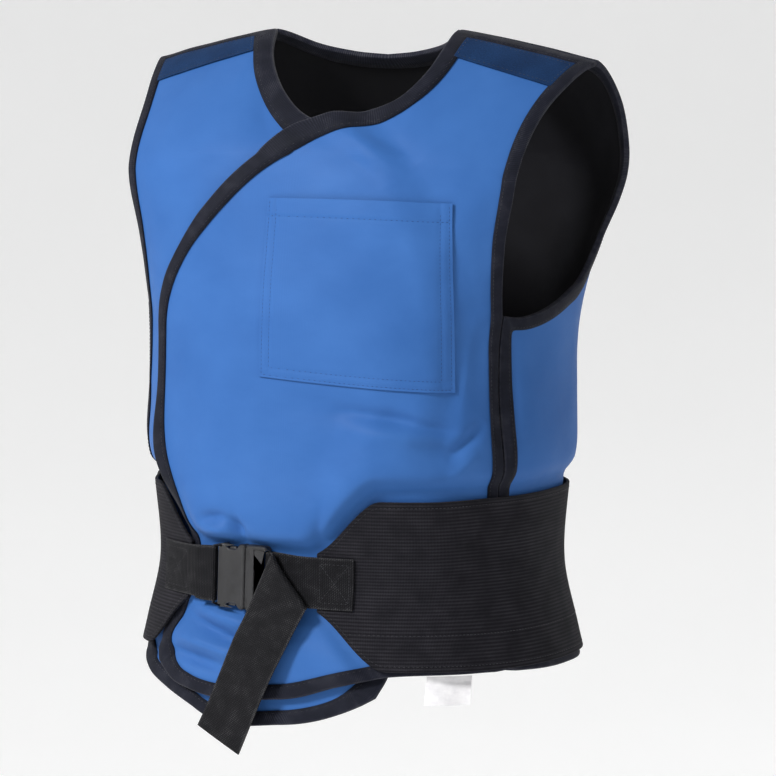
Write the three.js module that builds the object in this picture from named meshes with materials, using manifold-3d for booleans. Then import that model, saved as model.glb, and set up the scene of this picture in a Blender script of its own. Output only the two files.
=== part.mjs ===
// A wrap-front lead x-ray vest, in the shape that it has when worn and belted.
// Millimetres, +Z up. The front faces -Y and +X is the vest's left as worn. The origin is in the middle
// of the neck opening, level with the shoulder lines' middle.
import * as THREE from 'three';
import { mergeVertices } from 'three/addons/utils/BufferGeometryUtils.js';
import Module from 'manifold-3d';

const wasm = await Module();
wasm.setup();

const { degToRad, lerp, smoothstep } = THREE.MathUtils;

// Driving dimensions

const NECK_HALF_WIDTH = 96;
const SHOULDER_HALF_WIDTH = 226;
const SHOULDER_RISE = 9; // of the shoulder line at the neck, over the origin
const SHOULDER_DROP = 27; // how far the shoulder tip lies below the neck end
const SHOULDER_TIP_BACK = 12; // how far the shoulder tip lies behind the neck end
const SHOULDER_FALL = 110; // height over which the chest and back reach their full depth
const SHOULDER_SHARPNESS = 1.5; // 2 would be a round shoulder, 1 a ridged roof
const FORM_SQUARENESS = 2.4; // 2 would be an ellipse
const GIRTH_RADIUS = 170; // of the cylinder that the flat pattern is drawn on

const WALL = 3; // cover, lead sheet and lining together
const CLEARANCE = 0.4; // between pieces that lie on each other
const BINDING_CLOTH = 1.1;
const BINDING_WIDTH = 11;
const BINDING_REACH = WALL / 2 + CLEARANCE + BINDING_CLOTH; // from a panel's middle to the binding's face
const EDGE_TO_EDGE = 2 * (CLEARANCE + BINDING_CLOTH) + CLEARANCE; // between two panels' edges
const WRAP_LIFT = 7.4; // the outer front panel's middle over that of the under one

const BELT_THICK = 3;
const BELT_MIDDLE_Z = -483;
const BELT_HALF_HEIGHT = 78;
const BELT_CENTRE_TURN = -10.5; // the buckle sits right of the middle, as worn
const BELT_TIP_TURN = 17.5; // from the belt's centre to the end of each wing
const BELT_TAPER_TURN = 17; // over which a wing narrows to the webbing
const BLOUSE = 5; // how far the vest swells out above and below the belt
const BLOUSE_START = 9; // how far from the belt's edge the swelling begins
const BLOUSE_REACH = 34;

const WEBBING_WIDTH = 50;
const WEBBING_THICK = 1.6;

// The form of the worn vest before its folds, in sections. Depths are from the shoulder line.
const FORM = [
  { z: 10, halfWidth: 264, front: 100, back: 90 },
  { z: 0, halfWidth: 264, front: 104, back: 92 },
  { z: -60, halfWidth: 264, front: 122, back: 104 },
  { z: -120, halfWidth: 254, front: 138, back: 116 },
  { z: -180, halfWidth: 225, front: 150, back: 121 },
  { z: -240, halfWidth: 206, front: 158, back: 119 },
  { z: -320, halfWidth: 198, front: 161, back: 112 },
  { z: -400, halfWidth: 191, front: 158, back: 104 },
  { z: -480, halfWidth: 187, front: 152, back: 98 },
  { z: -540, halfWidth: 201, front: 160, back: 101 },
  { z: -620, halfWidth: 221, front: 172, back: 110 },
  { z: -680, halfWidth: 232, front: 179, back: 114 },
];

// Soft dents and folds of the front: each lies along a line of the pattern, from one end to the other.
const FOLDS = [
  { name: 'under the pocket', turn: 4, z: -322, endTurn: 26, endZ: -326, width: 14, height: -2.5 },
  { name: 'left side valley', turn: 50, z: -268, endTurn: 40, endZ: -362, width: 20, height: -4 },
  { name: 'tuck below the strap', turn: -30, z: -528, endTurn: -18, endZ: -552, width: 13, height: -3 },
];

// The under panel's free edge: hidden under the outer panel from the hem up to the neck.
const UNDER_EDGE = [
  { x: 88, z: -583 },
  { x: 98, z: -556 },
  { x: 98, z: -480 },
  { x: 98, z: -400 },
  { x: 99, z: -300 },
  { x: 97, z: -230 },
  { x: 85, z: -180 },
  { x: 64, z: -134 },
  { x: 37, z: -98 },
  { x: 8, z: -74 },
  { x: -24, z: -59 },
  { x: -52, z: -38 },
  { x: -76, z: -14 },
];

// The form's surface

function column(table, key, name) {
  const rows = [...table].sort((a, b) => a[key] - b[key]);
  const curve = new THREE.CubicInterpolant(rows.map((r) => r[key]), rows.map((r) => r[name]), 1);
  return (at) => curve.evaluate(at)[0];
}

const halfWidthAt = column(FORM, 'z', 'halfWidth');
const frontAt = column(FORM, 'z', 'front');
const backAt = column(FORM, 'z', 'back');
const underEdgeAt = column(UNDER_EDGE, 'z', 'x');

const signedPower = (value, power) => Math.sign(value) * Math.abs(value) ** power;

// 0 at the neck, 1 at the shoulder tip.
function alongShoulder(x) {
  return Math.max(0, (Math.abs(x) - NECK_HALF_WIDTH) / (SHOULDER_HALF_WIDTH - NECK_HALF_WIDTH));
}

const ridgeHeight = (x) => SHOULDER_RISE - SHOULDER_DROP * alongShoulder(x) ** 1.2;

// A turn is an angle round the form in degrees: 0 at the middle of the front, 90 at the vest's left.
function formPoint(turn, z) {
  const sine = Math.sin(degToRad(turn));
  const cosine = Math.cos(degToRad(turn));
  const x = halfWidthAt(z) * signedPower(sine, 2 / FORM_SQUARENESS);
  const depth = cosine > 0 ? frontAt(z) : backAt(z);
  const ridgeY = SHOULDER_TIP_BACK * alongShoulder(x);
  const below = THREE.MathUtils.clamp((ridgeHeight(x) - z) / SHOULDER_FALL, 0, 1);
  const swell = (1 - (1 - below) ** SHOULDER_SHARPNESS) ** (1 / SHOULDER_SHARPNESS);
  const y = -depth * signedPower(cosine, 2 / FORM_SQUARENESS);
  return new THREE.Vector3(x, ridgeY + (y - ridgeY) * swell, z);
}

// Which way the surface faces at a place, a little inside the shoulder line.
function formNormal(turn, z) {
  const step = 0.5;
  const down = Math.min(z, ridgeHeight(formPoint(turn, z).x) - 2 * step);
  const alongTurn = formPoint(turn + step, down).sub(formPoint(turn - step, down));
  const alongHeight = formPoint(turn, down + step).sub(formPoint(turn, down - step));
  return alongTurn.cross(alongHeight).normalize();
}

// The turn at which the front, or the back, is x to the side.
function turnAt(x, z, onBack = false) {
  const share = THREE.MathUtils.clamp(Math.abs(x) / halfWidthAt(z), 0, 1);
  const turn = Math.sign(x) * THREE.MathUtils.radToDeg(Math.asin(share ** (FORM_SQUARENESS / 2)));
  return onBack ? 180 - turn : turn;
}

// How the belt draws the vest in, and what lies under the belt

function beltTurn(turn) {
  const from = turn - BELT_CENTRE_TURN;
  return Math.abs(from > 180 ? from - 360 : from < -180 ? from + 360 : from);
}

// Half the belt's height at a turn: the webbing at the front, a wing at each side, full height behind.
function beltHalfHeight(turn) {
  const wing = smoothstep(beltTurn(turn), BELT_TIP_TURN - 3, BELT_TIP_TURN + BELT_TAPER_TURN);
  return lerp(WEBBING_WIDTH / 2, BELT_HALF_HEIGHT, wing);
}

function blouse(turn, z) {
  const outside = (Math.abs(z - BELT_MIDDLE_Z) - beltHalfHeight(turn) - BLOUSE_START) / BLOUSE_REACH;
  return outside > 0 ? BLOUSE * outside * Math.exp(1 - outside) : 0;
}

function folds(turn, z) {
  const place = new THREE.Vector2(GIRTH_RADIUS * degToRad(turn), z);
  let height = 0;
  for (const fold of FOLDS) {
    const start = new THREE.Vector2(GIRTH_RADIUS * degToRad(fold.turn), fold.z);
    const run = new THREE.Vector2(GIRTH_RADIUS * degToRad(fold.endTurn), fold.endZ).sub(start);
    const share = THREE.MathUtils.clamp(place.clone().sub(start).dot(run) / run.lengthSq(), 0, 1);
    const away = place.distanceTo(start.addScaledVector(run, share)) / fold.width;
    height += fold.height * Math.exp(-away * away);
  }
  return height;
}

// The outer panel's lift over the under one, which fades out beyond the under panel's free edge.
function wrapLift(turn, z) {
  const beyond = formPoint(turn, z).x - underEdgeAt(z);
  return WRAP_LIFT * (1 - smoothstep(beyond, 26, 70));
}

// What lies under the belt is higher where the outer front panel is, and nowhere behind.
const liftUnderBelt = (turn, z) =>
  wrapLift(turn, z) * smoothstep(turn, -62, -46) * (1 - smoothstep(turn, 62, 80));

// The flat pattern: x is the way round the form, y the drop below the shoulder line. The drop is
// stretched near the shoulder, where the cloth runs level, so that the pattern keeps its lengths.

function dropAt(x, z) {
  const below = ridgeHeight(x) - z;
  return below > SHOULDER_FALL ? below : SHOULDER_FALL * (Math.max(below, 0) / SHOULDER_FALL) ** (1 / 1.5);
}

const onPattern = (turn, z) =>
  new THREE.Vector2(GIRTH_RADIUS * degToRad(turn), -dropAt(formPoint(turn, z).x, z));

const frontPattern = (x, z) => onPattern(turnAt(x, z), z);
const backPattern = (x, z) => onPattern(turnAt(x, z, true), z);

function fromPattern(place) {
  const turn = THREE.MathUtils.radToDeg(place.x / GIRTH_RADIUS);
  const drop = Math.max(-place.y, 0);
  const below = drop > SHOULDER_FALL ? drop : SHOULDER_FALL * (drop / SHOULDER_FALL) ** 1.5;
  let z = -below;
  for (let pass = 0; pass < 4; pass++) z = ridgeHeight(formPoint(turn, z).x) - below;
  return { turn, z };
}

// A smooth line of the pattern through a few places, from 0 to 1 by its length. Its shareOf gives the share
// at which it passes a place of the list.
function patternLine(places) {
  const marks = places.map((p) => new THREE.Vector3(p.x, p.y, 0));
  const line = new THREE.CatmullRomCurve3(marks, false, 'centripetal');
  const divisions = 40 * (places.length - 1);
  line.arcLengthDivisions = divisions;
  const lengths = line.getLengths();
  const at = (share) => {
    const point = line.getPointAt(share);
    return new THREE.Vector2(point.x, point.y);
  };
  at.shareOf = (index) => lengths[40 * index] / lengths[divisions];
  return at;
}

// Two lines as one, which meet at a given share of the whole.
const joined = (first, second, at) => (share) =>
  share < at ? first(share / at) : second(Math.min(1, (share - at) / (1 - at)));

const RELAX_PASSES = 8;

// A grid of pattern places between four lines, with rows from the left line to the right one. Its inner
// places are evened out, and a line as far in as a binding is wide is set beside each edge.
function patternGrid({ bottom, top, left, right, columns, rows }) {
  const corner = [left(0), right(0), left(1), right(1)];
  const grid = rows.map((up) => columns.map((across) => {
    const flat = new THREE.Vector2();
    flat.addScaledVector(bottom(across), 1 - up).addScaledVector(top(across), up);
    flat.addScaledVector(left(up), 1 - across).addScaledVector(right(up), across);
    flat.addScaledVector(corner[0], -(1 - across) * (1 - up)).addScaledVector(corner[1], -across * (1 - up));
    return flat.addScaledVector(corner[2], -(1 - across) * up).addScaledVector(corner[3], -across * up);
  }));
  for (let pass = 0; pass < RELAX_PASSES; pass++) {
    for (let j = 1; j < rows.length - 1; j++) {
      for (let i = 1; i < columns.length - 1; i++) {
        const sum = grid[j - 1][i].clone().add(grid[j + 1][i]).add(grid[j][i - 1]).add(grid[j][i + 1]);
        grid[j][i] = sum.multiplyScalar(0.25);
      }
    }
  }
  const beside = (lines) => lines.map((line, at) => {
    const [before, after] = [lines[Math.max(at - 1, 0)], lines[Math.min(at + 1, lines.length - 1)]];
    const inFrom = (edge, next, along) => {
      const inward = next.clone().sub(edge);
      const slant = Math.abs(inward.clone().normalize().cross(along.normalize()));
      const step = BINDING_WIDTH / Math.max(slant, 0.4);
      return edge.clone().addScaledVector(inward, Math.min(step / inward.length(), 0.7));
    };
    const last = line.length - 1;
    const first = inFrom(line[0], line[1], after[0].clone().sub(before[0]));
    const final = inFrom(line[last], line[last - 1], after[last].clone().sub(before[last]));
    return [line[0], first, ...line.slice(1, last), final, line[last]];
  });
  const turned = (lines) => lines[0].map((_, i) => lines.map((line) => line[i]));
  return turned(beside(turned(beside(grid))));
}

// Walls made of a grid of places

function unitSteps(count) {
  return Array.from({ length: count + 1 }, (_, i) => i / count);
}

// Steps from 0 to 1 with a step that falls exactly on a given share.
const stepsThrough = (before, share, after) =>
  [...unitSteps(before).map((s) => s * share), ...unitSteps(after).slice(1).map((s) => lerp(share, 1, s))];

function gridNormals(grid) {
  const at = (row, i) => row[THREE.MathUtils.clamp(i, 0, row.length - 1)];
  return grid.map((row, j) =>
    row.map((_, i) => {
      const across = at(row, i + 1).clone().sub(at(row, i - 1));
      const up = at(at(grid, j + 1), i).clone().sub(at(at(grid, j - 1), i));
      return across.cross(up).normalize();
    }));
}

// A closed wall round a grid of places: an outer face, an inner face and a rim of quads between them.
// Two corner cells are split the other way, so that every corner's split runs into the corner.
function wallOf(grid, thickness) {
  const normals = gridNormals(grid);
  const [rows, columns] = [grid.length, grid[0].length];
  const places = [];
  for (const side of [1, -1]) {
    grid.forEach((row, j) => row.forEach((p, i) =>
      places.push(p.clone().addScaledVector(normals[j][i], side * thickness / 2))));
  }
  const outer = (j, i) => j * columns + i;
  const inner = (j, i) => rows * columns + outer(j, i);
  const corners = [];
  const quad = (a, b, c, d) => corners.push(a, b, c, a, c, d);
  for (let j = 0; j < rows - 1; j++) {
    for (let i = 0; i < columns - 1; i++) {
      const cell = [[j, i], [j, i + 1], [j + 1, i + 1], [j + 1, i]];
      if ((j === 0 && i === columns - 2) || (j === rows - 2 && i === 0)) cell.push(cell.shift());
      quad(...cell.map(([row, at]) => outer(row, at)));
      const [a, b, c, d] = cell.map(([row, at]) => inner(row, at));
      corners.push(a, c, b, a, d, c);
    }
  }
  for (let i = 0; i < columns - 1; i++) {
    quad(outer(0, i), inner(0, i), inner(0, i + 1), outer(0, i + 1));
    quad(outer(rows - 1, i + 1), inner(rows - 1, i + 1), inner(rows - 1, i), outer(rows - 1, i));
  }
  for (let j = 0; j < rows - 1; j++) {
    quad(outer(j + 1, 0), inner(j + 1, 0), inner(j, 0), outer(j, 0));
    quad(outer(j, columns - 1), inner(j, columns - 1), inner(j + 1, columns - 1), outer(j + 1, columns - 1));
  }
  const geometry = new THREE.BufferGeometry().setFromPoints(places);
  return geometry.setIndex(corners);
}

// One body from a closed surface: corners in one place are made one, and what then has no area is dropped.
function closed(geometry) {
  const merged = mergeVertices(geometry, 1e-4);
  const corners = merged.getIndex().array;
  const kept = [];
  for (let i = 0; i < corners.length; i += 3) {
    const [a, b, c] = corners.slice(i, i + 3);
    if (a !== b && b !== c && c !== a) kept.push(a, b, c);
  }
  return merged.setIndex(kept);
}

// The folded tape round a panel's edge. Its lips end on the grid's second line, its nose stands past the
// first, and its cells are split like the panel's, so that it keeps its distance from the panel everywhere.
function bindingOf(grid) {
  const normals = gridNormals(grid);
  const [top, right] = [grid.length - 1, grid[0].length - 1];
  const stations = [];
  for (let i = 0; i < right; i++) stations.push({ j: 0, i, edgeFirst: true });
  for (let j = 0; j < top; j++) stations.push({ j, i: right, edgeFirst: false });
  for (let i = right; i > 0; i--) stations.push({ j: top, i, edgeFirst: true });
  for (let j = top; j > 0; j--) stations.push({ j, i: 0, edgeFirst: false });

  const inside = WALL / 2 + CLEARANCE;
  const nose = CLEARANCE + BINDING_CLOTH;
  const places = [];
  for (const { j, i } of stations) {
    const [lipJ, lipI] = [THREE.MathUtils.clamp(j, 1, top - 1), THREE.MathUtils.clamp(i, 1, right - 1)];
    const [edge, lip] = [grid[j][i], grid[lipJ][lipI]];
    const along = j === 0 || j === top
      ? grid[j][Math.min(i + 1, right)].clone().sub(grid[j][Math.max(i - 1, 0)])
      : grid[Math.min(j + 1, top)][i].clone().sub(grid[Math.max(j - 1, 0)][i]);
    const isCorner = (i === 0 || i === right) && (j === 0 || j === top);
    const outward = edge.clone().sub(lip).projectOnPlane(normals[j][i]);
    if (!isCorner) outward.projectOnPlane(along.normalize());
    outward.setLength(isCorner ? Math.SQRT2 : 1);
    const atLip = (height) => lip.clone().addScaledVector(normals[lipJ][lipI], height);
    const atEdge = (height, out) =>
      edge.clone().addScaledVector(normals[j][i], height).addScaledVector(outward, out);
    places.push(
      atLip(BINDING_REACH), atEdge(BINDING_REACH, nose), atEdge(-BINDING_REACH, nose), atLip(-BINDING_REACH),
      atLip(-inside), atEdge(-inside, CLEARANCE), atEdge(inside, CLEARANCE), atLip(inside));
  }
  const corners = [];
  stations.forEach(({ edgeFirst }, station) => {
    const here = 8 * station;
    const next = 8 * ((station + 1) % stations.length);
    for (let k = 0; k < 8; k++) {
      const l = (k + 1) % 8;
      const [a, b, c, d] = [here + k, here + l, next + l, next + k];
      const startsAtEdge = k === 1 || k === 2 || k === 5 || k === 6;
      if (startsAtEdge === edgeFirst) corners.push(a, b, c, a, c, d);
      else corners.push(a, b, d, b, c, d);
    }
  });
  return closed(new THREE.BufferGeometry().setFromPoints(places).setIndex(corners));
}

// A place on the worn vest: turn and height on the form, raised along the form's normal.
function wornPoint(turn, z, lift) {
  const raise = lift + blouse(turn, z) + folds(turn, z);
  return formPoint(turn, z).addScaledVector(formNormal(turn, z), raise);
}

const onFront = (x, z, lift) => wornPoint(turnAt(x, z), z, lift);

const panelGrid = (flat, liftAt) => flat.map((row) => row.map((place) => {
  const { turn, z } = fromPattern(place);
  return wornPoint(turn, z, liftAt(turn, z));
}));

// The panels' outlines

// How far a panel's edge lies below the shoulder line, on the pattern: front and back meet there.
const SHOULDER_EDGE_DROP = { neck: 2.6, tip: 3.8 };
const SIDE_APART = 1.4; // in degrees, between the edges of a front panel and the back at the side
const FRONT_SIDE_SHARE = 0.5; // of a front panel's rows that lie below the armpit
const BACK_SIDE_SHARE = 0.36;
const CHEST_PLACES = 13; // of the outer edge's places that those rows start from
const UNDER_CHEST_PLACES = 7;

// From the hem up the side to the armpit, on the vest's left, then each panel's part of the armhole.
const SIDE_TURNS = [
  { turn: 60.5, z: -560 },
  { turn: 61.5, z: -480 },
  { turn: 62, z: -400 },
  { turn: 60.5, z: -320 },
  { turn: 58.5, z: -243 },
];
const FRONT_ARMHOLE = [
  { x: 183, z: -200 },
  { x: 189, z: -160 },
  { x: 196, z: -125 },
  { x: 200, z: -90 },
  { x: 206, z: -58 },
  { x: 216, z: -34 },
];
const BACK_ARMHOLE_TURNS = [
  { turn: 66, z: -245 },
  { turn: 75, z: -241 },
  { turn: 85, z: -230 },
  { turn: 95, z: -210 },
  { turn: 103, z: -180 },
  { turn: 108, z: -146 },
  { turn: 111.5, z: -108 },
  { turn: 116, z: -62 },
];

// The outer panel's free edge: from its rounded corner up the right, across the chest, round the neck.
const OUTER_EDGE = [
  { x: -132, z: -572 },
  { x: -137, z: -550 },
  { x: -122, z: -522 },
  { x: -105, z: -492 },
  { x: -101, z: -462 },
  { x: -110, z: -434 },
  { x: -127, z: -402 },
  { x: -138, z: -360 },
  { x: -140, z: -305 },
  { x: -140, z: -246 },
  { x: -132, z: -214 },
  { x: -112, z: -181 },
  { x: -86, z: -147 },
  { x: -57, z: -117 },
  { x: -29, z: -94 },
  { x: -8, z: -79 },
  { x: 22, z: -69 },
  { x: 54, z: -63 },
  { x: 80, z: -51 },
  { x: 95, z: -29 },
  { x: 98, z: -8 },
];
const OUTER_HEM = [
  { x: -110, z: -588 },
  { x: -66, z: -595 },
  { x: 0, z: -590 },
  { x: 56, z: -575 },
  { x: 110, z: -563 },
];
const UNDER_HEM = [
  { x: -120, z: -599 },
  { x: -60, z: -618 },
  { x: 10, z: -612 },
  { x: 60, z: -598 },
];
const BACK_NECK = [
  { x: 68, z: -4 },
  { x: 34, z: -12 },
  { x: 0, z: -15 },
];
const BACK_HEM = [
  { turn: 110, z: -566 },
  { turn: 180, z: -574 },
  { turn: 250, z: -566 },
];

const shoulderEdgeDrop = (x) => lerp(SHOULDER_EDGE_DROP.neck, SHOULDER_EDGE_DROP.tip, alongShoulder(x));

// Places just below the shoulder line, on the front or the back.
function shoulderPlace(x, pattern) {
  const place = pattern(x, ridgeHeight(x));
  return new THREE.Vector2(place.x, -shoulderEdgeDrop(x));
}

const shoulderLine = (fromX, toX, pattern) =>
  patternLine([0, 0.33, 0.67, 1].map((s) => shoulderPlace(lerp(fromX, toX, s), pattern)));

const FRONT_COLUMNS = unitSteps(12);
const FRONT_ROWS = stepsThrough(12, FRONT_SIDE_SHARE, 10);
const BACK_COLUMNS = unitSteps(18);
const BACK_ROWS = stepsThrough(12, BACK_SIDE_SHARE, 9);
const BACK_SHOULDER_SHARE = 5 / 9; // of half the back's top edge that lies on the shoulder

// The side line of a front panel: side is 1 on the vest's left and -1 on the right.
function frontSide(side) {
  const low = SIDE_TURNS.map((p) => onPattern(side * p.turn, p.z));
  const high = [
    low.at(-1),
    ...FRONT_ARMHOLE.map((p) => frontPattern(side * p.x, p.z)),
    shoulderPlace(side * SHOULDER_HALF_WIDTH, frontPattern),
  ];
  return joined(patternLine(low), patternLine(high), FRONT_SIDE_SHARE);
}

function frontPanelPattern(side, edgeTable, chestPlaces, hemTable) {
  const free = [
    ...edgeTable.map((p) => frontPattern(p.x, p.z)),
    shoulderPlace(side * NECK_HALF_WIDTH, frontPattern),
  ];
  const whole = patternLine(free);
  const chest = whole.shareOf(chestPlaces - 1);
  const below = (share) => whole(share * chest);
  const above = (share) => whole(lerp(chest, 1, share));
  const edge = joined(below, above, FRONT_SIDE_SHARE);
  const sideLine = frontSide(side);
  const [left, right] = side > 0 ? [edge, sideLine] : [sideLine, edge];
  const [tipX, neckX] = [side * SHOULDER_HALF_WIDTH, side * NECK_HALF_WIDTH];
  return patternGrid({
    left,
    right,
    bottom: patternLine([left(0), ...hemTable.map((p) => frontPattern(p.x, p.z)), right(0)]),
    top: shoulderLine(side > 0 ? neckX : tipX, side > 0 ? tipX : neckX, frontPattern),
    columns: FRONT_COLUMNS,
    rows: FRONT_ROWS,
  });
}

function backPanelPattern() {
  const low = SIDE_TURNS.map((p) => onPattern(p.turn + SIDE_APART, p.z));
  const high = [
    low.at(-1),
    ...BACK_ARMHOLE_TURNS.map((p) => onPattern(p.turn, p.z)),
    shoulderPlace(SHOULDER_HALF_WIDTH, backPattern),
  ];
  const left = joined(patternLine(low), patternLine(high), BACK_SIDE_SHARE);
  const mirrored = (place) => new THREE.Vector2(2 * Math.PI * GIRTH_RADIUS - place.x, place.y);
  const neck = patternLine([
    shoulderPlace(NECK_HALF_WIDTH, backPattern),
    ...BACK_NECK.map((p) => backPattern(p.x, p.z)),
  ]);
  const shoulder = shoulderLine(SHOULDER_HALF_WIDTH, NECK_HALF_WIDTH, backPattern);
  const halfTop = joined(shoulder, neck, BACK_SHOULDER_SHARE);
  return patternGrid({
    left,
    right: (share) => mirrored(left(share)),
    bottom: patternLine([low[0], ...BACK_HEM.map((p) => onPattern(p.turn, p.z)), mirrored(low[0])]),
    top: (share) => (share < 0.5 ? halfTop(2 * share) : mirrored(halfTop(2 - 2 * share))),
    columns: BACK_COLUMNS,
    rows: BACK_ROWS,
  });
}

// Patches that lie on the outer face of a front panel

// A patch's grid from a place finder of two shares, both 0 to 1.
const patchGrid = (columns, rows, placeAt) =>
  unitSteps(rows).map((up) => unitSteps(columns).map((across) => placeAt(across, up)));

const ON_PANEL = WALL / 2 + CLEARANCE; // a patch's inner face over a panel's middle

const YOKE_THICK = 1.3;
const YOKE_INNER_END = { left: { x: 110, lowerZ: -14 }, right: { x: 99, lowerZ: -11 } };
const YOKE_EDGE = [
  { x: 155, lowerZ: -26 },
  { x: 203, lowerZ: -40 },
];

// The dark yoke on the top of a front panel, between the neck's binding and the armhole's.
function yokeGrid(side, lift) {
  const edge = [side > 0 ? YOKE_INNER_END.left : YOKE_INNER_END.right, ...YOKE_EDGE];
  const lowerAt = column(edge, 'x', 'lowerZ');
  return patchGrid(8, 4, (across, up) => {
    const share = side > 0 ? across : 1 - across;
    const lowerX = lerp(edge[0].x, edge[2].x, share);
    const lower = frontPattern(side * lowerX, lowerAt(lowerX));
    const upperX = lerp(NECK_HALF_WIDTH + BINDING_WIDTH + 3, 213, share);
    const upper = frontPattern(side * upperX, -10);
    const topDrop = shoulderEdgeDrop(upperX) + BINDING_WIDTH + 2;
    const flat = new THREE.Vector2(lerp(lower.x, upper.x, up), lerp(lower.y, -topDrop, up));
    const { turn, z } = fromPattern(flat);
    return wornPoint(turn, z, lift(turn, z) + ON_PANEL + YOKE_THICK / 2);
  });
}

const POCKET_THICK = 1.2;
const POCKET_OFF = 0.5; // more room under the pocket, where two curved faces meet
const POCKET_POUCH = 2.6; // how far the pocket's middle stands off the panel
const POCKET = { left: -22, right: 148, top: -140, bottomLeft: -298, bottomRight: -308 };

function pocketGrid() {
  return patchGrid(10, 8, (across, up) => {
    const x = lerp(POCKET.left, POCKET.right, across);
    const z = lerp(lerp(POCKET.bottomLeft, POCKET.bottomRight, across), POCKET.top, up);
    const pouch = POCKET_POUCH * Math.sin(Math.PI * across) ** 0.6 * Math.sin(Math.PI / 2 * up) ** 0.6;
    return onFront(x, z, wrapLift(turnAt(x, z), z) + ON_PANEL + POCKET_OFF + POCKET_THICK / 2 + pouch);
  });
}

// The belt: one elastic band round the back with a wing at each side

const BELT_INNER = BINDING_REACH + 1.5; // the belt's inner face over a panel's middle
const BELT_COLUMNS = 46;
const BELT_ROWS = 4;

function beltGrid() {
  const start = BELT_CENTRE_TURN + BELT_TIP_TURN;
  const sweep = 360 - 2 * BELT_TIP_TURN;
  return patchGrid(BELT_COLUMNS, BELT_ROWS, (across, up) => {
    const turn = start + sweep * across;
    const wrapped = turn > 180 ? turn - 360 : turn;
    const z = BELT_MIDDLE_Z + lerp(-1, 1, up) * beltHalfHeight(wrapped);
    const lift = liftUnderBelt(wrapped, BELT_MIDDLE_Z) + BELT_INNER + BELT_THICK / 2;
    return formPoint(wrapped, z).addScaledVector(formNormal(wrapped, z), lift);
  });
}

// The webbing, the buckle and the strap's loose end

const STRAP_LIFT = WRAP_LIFT + BELT_INNER + BELT_THICK + 2 * CLEARANCE + WEBBING_THICK / 2;
const BUCKLE_LEFT_X = -10; // where the strap turns round the clip's bar
const BUCKLE_RIGHT_X = -72; // where the fixed webbing turns round the socket's bar
const LOOP_RADIUS = 3.2; // of the webbing's middle round a bar
const SEWN_LEFT_X = 66;
const SEWN_RIGHT_X = -132;
const FOLD_RADIUS = 2;
const FOLD_X = 9; // where the middle of the strap meets its slanting fold
const FOLD_SLANT = -0.64; // how far the fold moves along the strap for each unit up
const TAIL_LENGTH = 163;
const TAIL_END_LIFT = WRAP_LIFT + BINDING_REACH + 5;

// A place over the belt's front.
function overBelt(x, z, lift) {
  const turn = turnAt(x, BELT_MIDDLE_Z);
  const raise = liftUnderBelt(turn, BELT_MIDDLE_Z) - WRAP_LIFT + lift;
  return formPoint(turnAt(x, z), z).addScaledVector(formNormal(turnAt(x, z), z), raise);
}

// The buckle's own flat frame: X along the belt, Y up the belt, Z out from the vest. Its bars lie where the
// two webbings turn.
const BAR_X = 31;
const buckleFrame = (() => {
  const bar = (x, z) => overBelt(x, z, STRAP_LIFT + LOOP_RADIUS);
  const [right, left] = [bar(BUCKLE_RIGHT_X, BELT_MIDDLE_Z), bar(BUCKLE_LEFT_X, BELT_MIDDLE_Z)];
  const along = left.clone().sub(right).normalize();
  const middleX = (BUCKLE_LEFT_X + BUCKLE_RIGHT_X) / 2;
  const rise = bar(middleX, BELT_MIDDLE_Z + 20).sub(bar(middleX, BELT_MIDDLE_Z - 20));
  const out = along.clone().cross(rise).normalize();
  const frame = new THREE.Matrix4().makeBasis(along, out.clone().cross(along), out);
  return frame.setPosition(right.add(left).multiplyScalar(0.5));
})();

// A place of a strap: it lies flat at the buckle and bends with the belt further away.
function strapPlace(x, z, lift) {
  const onLeft = x > (BUCKLE_LEFT_X + BUCKLE_RIGHT_X) / 2;
  const alongX = onLeft ? x - BUCKLE_LEFT_X + BAR_X : x - BUCKLE_RIGHT_X - BAR_X;
  const flat = new THREE.Vector3(alongX, z - BELT_MIDDLE_Z, lift - STRAP_LIFT - LOOP_RADIUS);
  const away = Math.max(0, Math.abs(alongX) - BAR_X);
  const below = Math.max(0, BELT_MIDDLE_Z - WEBBING_WIDTH / 2 - z);
  return flat.applyMatrix4(buckleFrame).lerp(overBelt(x, z, lift), smoothstep(Math.hypot(away, below), 4, 34));
}

// The fixed webbing: sewn on the right wing, round the socket's bar and back for a short way.
function fixedWebbingGrid() {
  const run = BUCKLE_RIGHT_X - SEWN_RIGHT_X;
  const turnLength = Math.PI * LOOP_RADIUS;
  const back = 16;
  const alongs = [
    ...unitSteps(6).map((s) => s * run),
    ...unitSteps(6).slice(1).map((s) => run + s * turnLength),
    ...unitSteps(2).slice(1).map((s) => run + turnLength + s * back),
  ];
  return alongs.map((along) => unitSteps(3).map((across) => {
    const z = BELT_MIDDLE_Z + lerp(-0.5, 0.5, across) * WEBBING_WIDTH;
    const angle = THREE.MathUtils.clamp((along - run) / LOOP_RADIUS, 0, Math.PI);
    const past = Math.max(0, along - run - turnLength);
    const x = SEWN_RIGHT_X + Math.min(along, run) + LOOP_RADIUS * Math.sin(angle) - past;
    return strapPlace(x, z, STRAP_LIFT + LOOP_RADIUS * (1 - Math.cos(angle)));
  }));
}

// A place of the long strap, from the left wing to the clip's bar, round it, and out to the loose end,
// which is folded over on a slant and hangs down over the hem.
const STRAP_RUN = SEWN_LEFT_X - BUCKLE_LEFT_X;
const STRAP_LOOP = Math.PI * LOOP_RADIUS;
const STRAP_FOLD = STRAP_RUN + STRAP_LOOP + FOLD_X - BUCKLE_LEFT_X; // length to the fold's middle
const STRAP_LENGTH = STRAP_FOLD + Math.PI * FOLD_RADIUS + TAIL_LENGTH;

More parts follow.
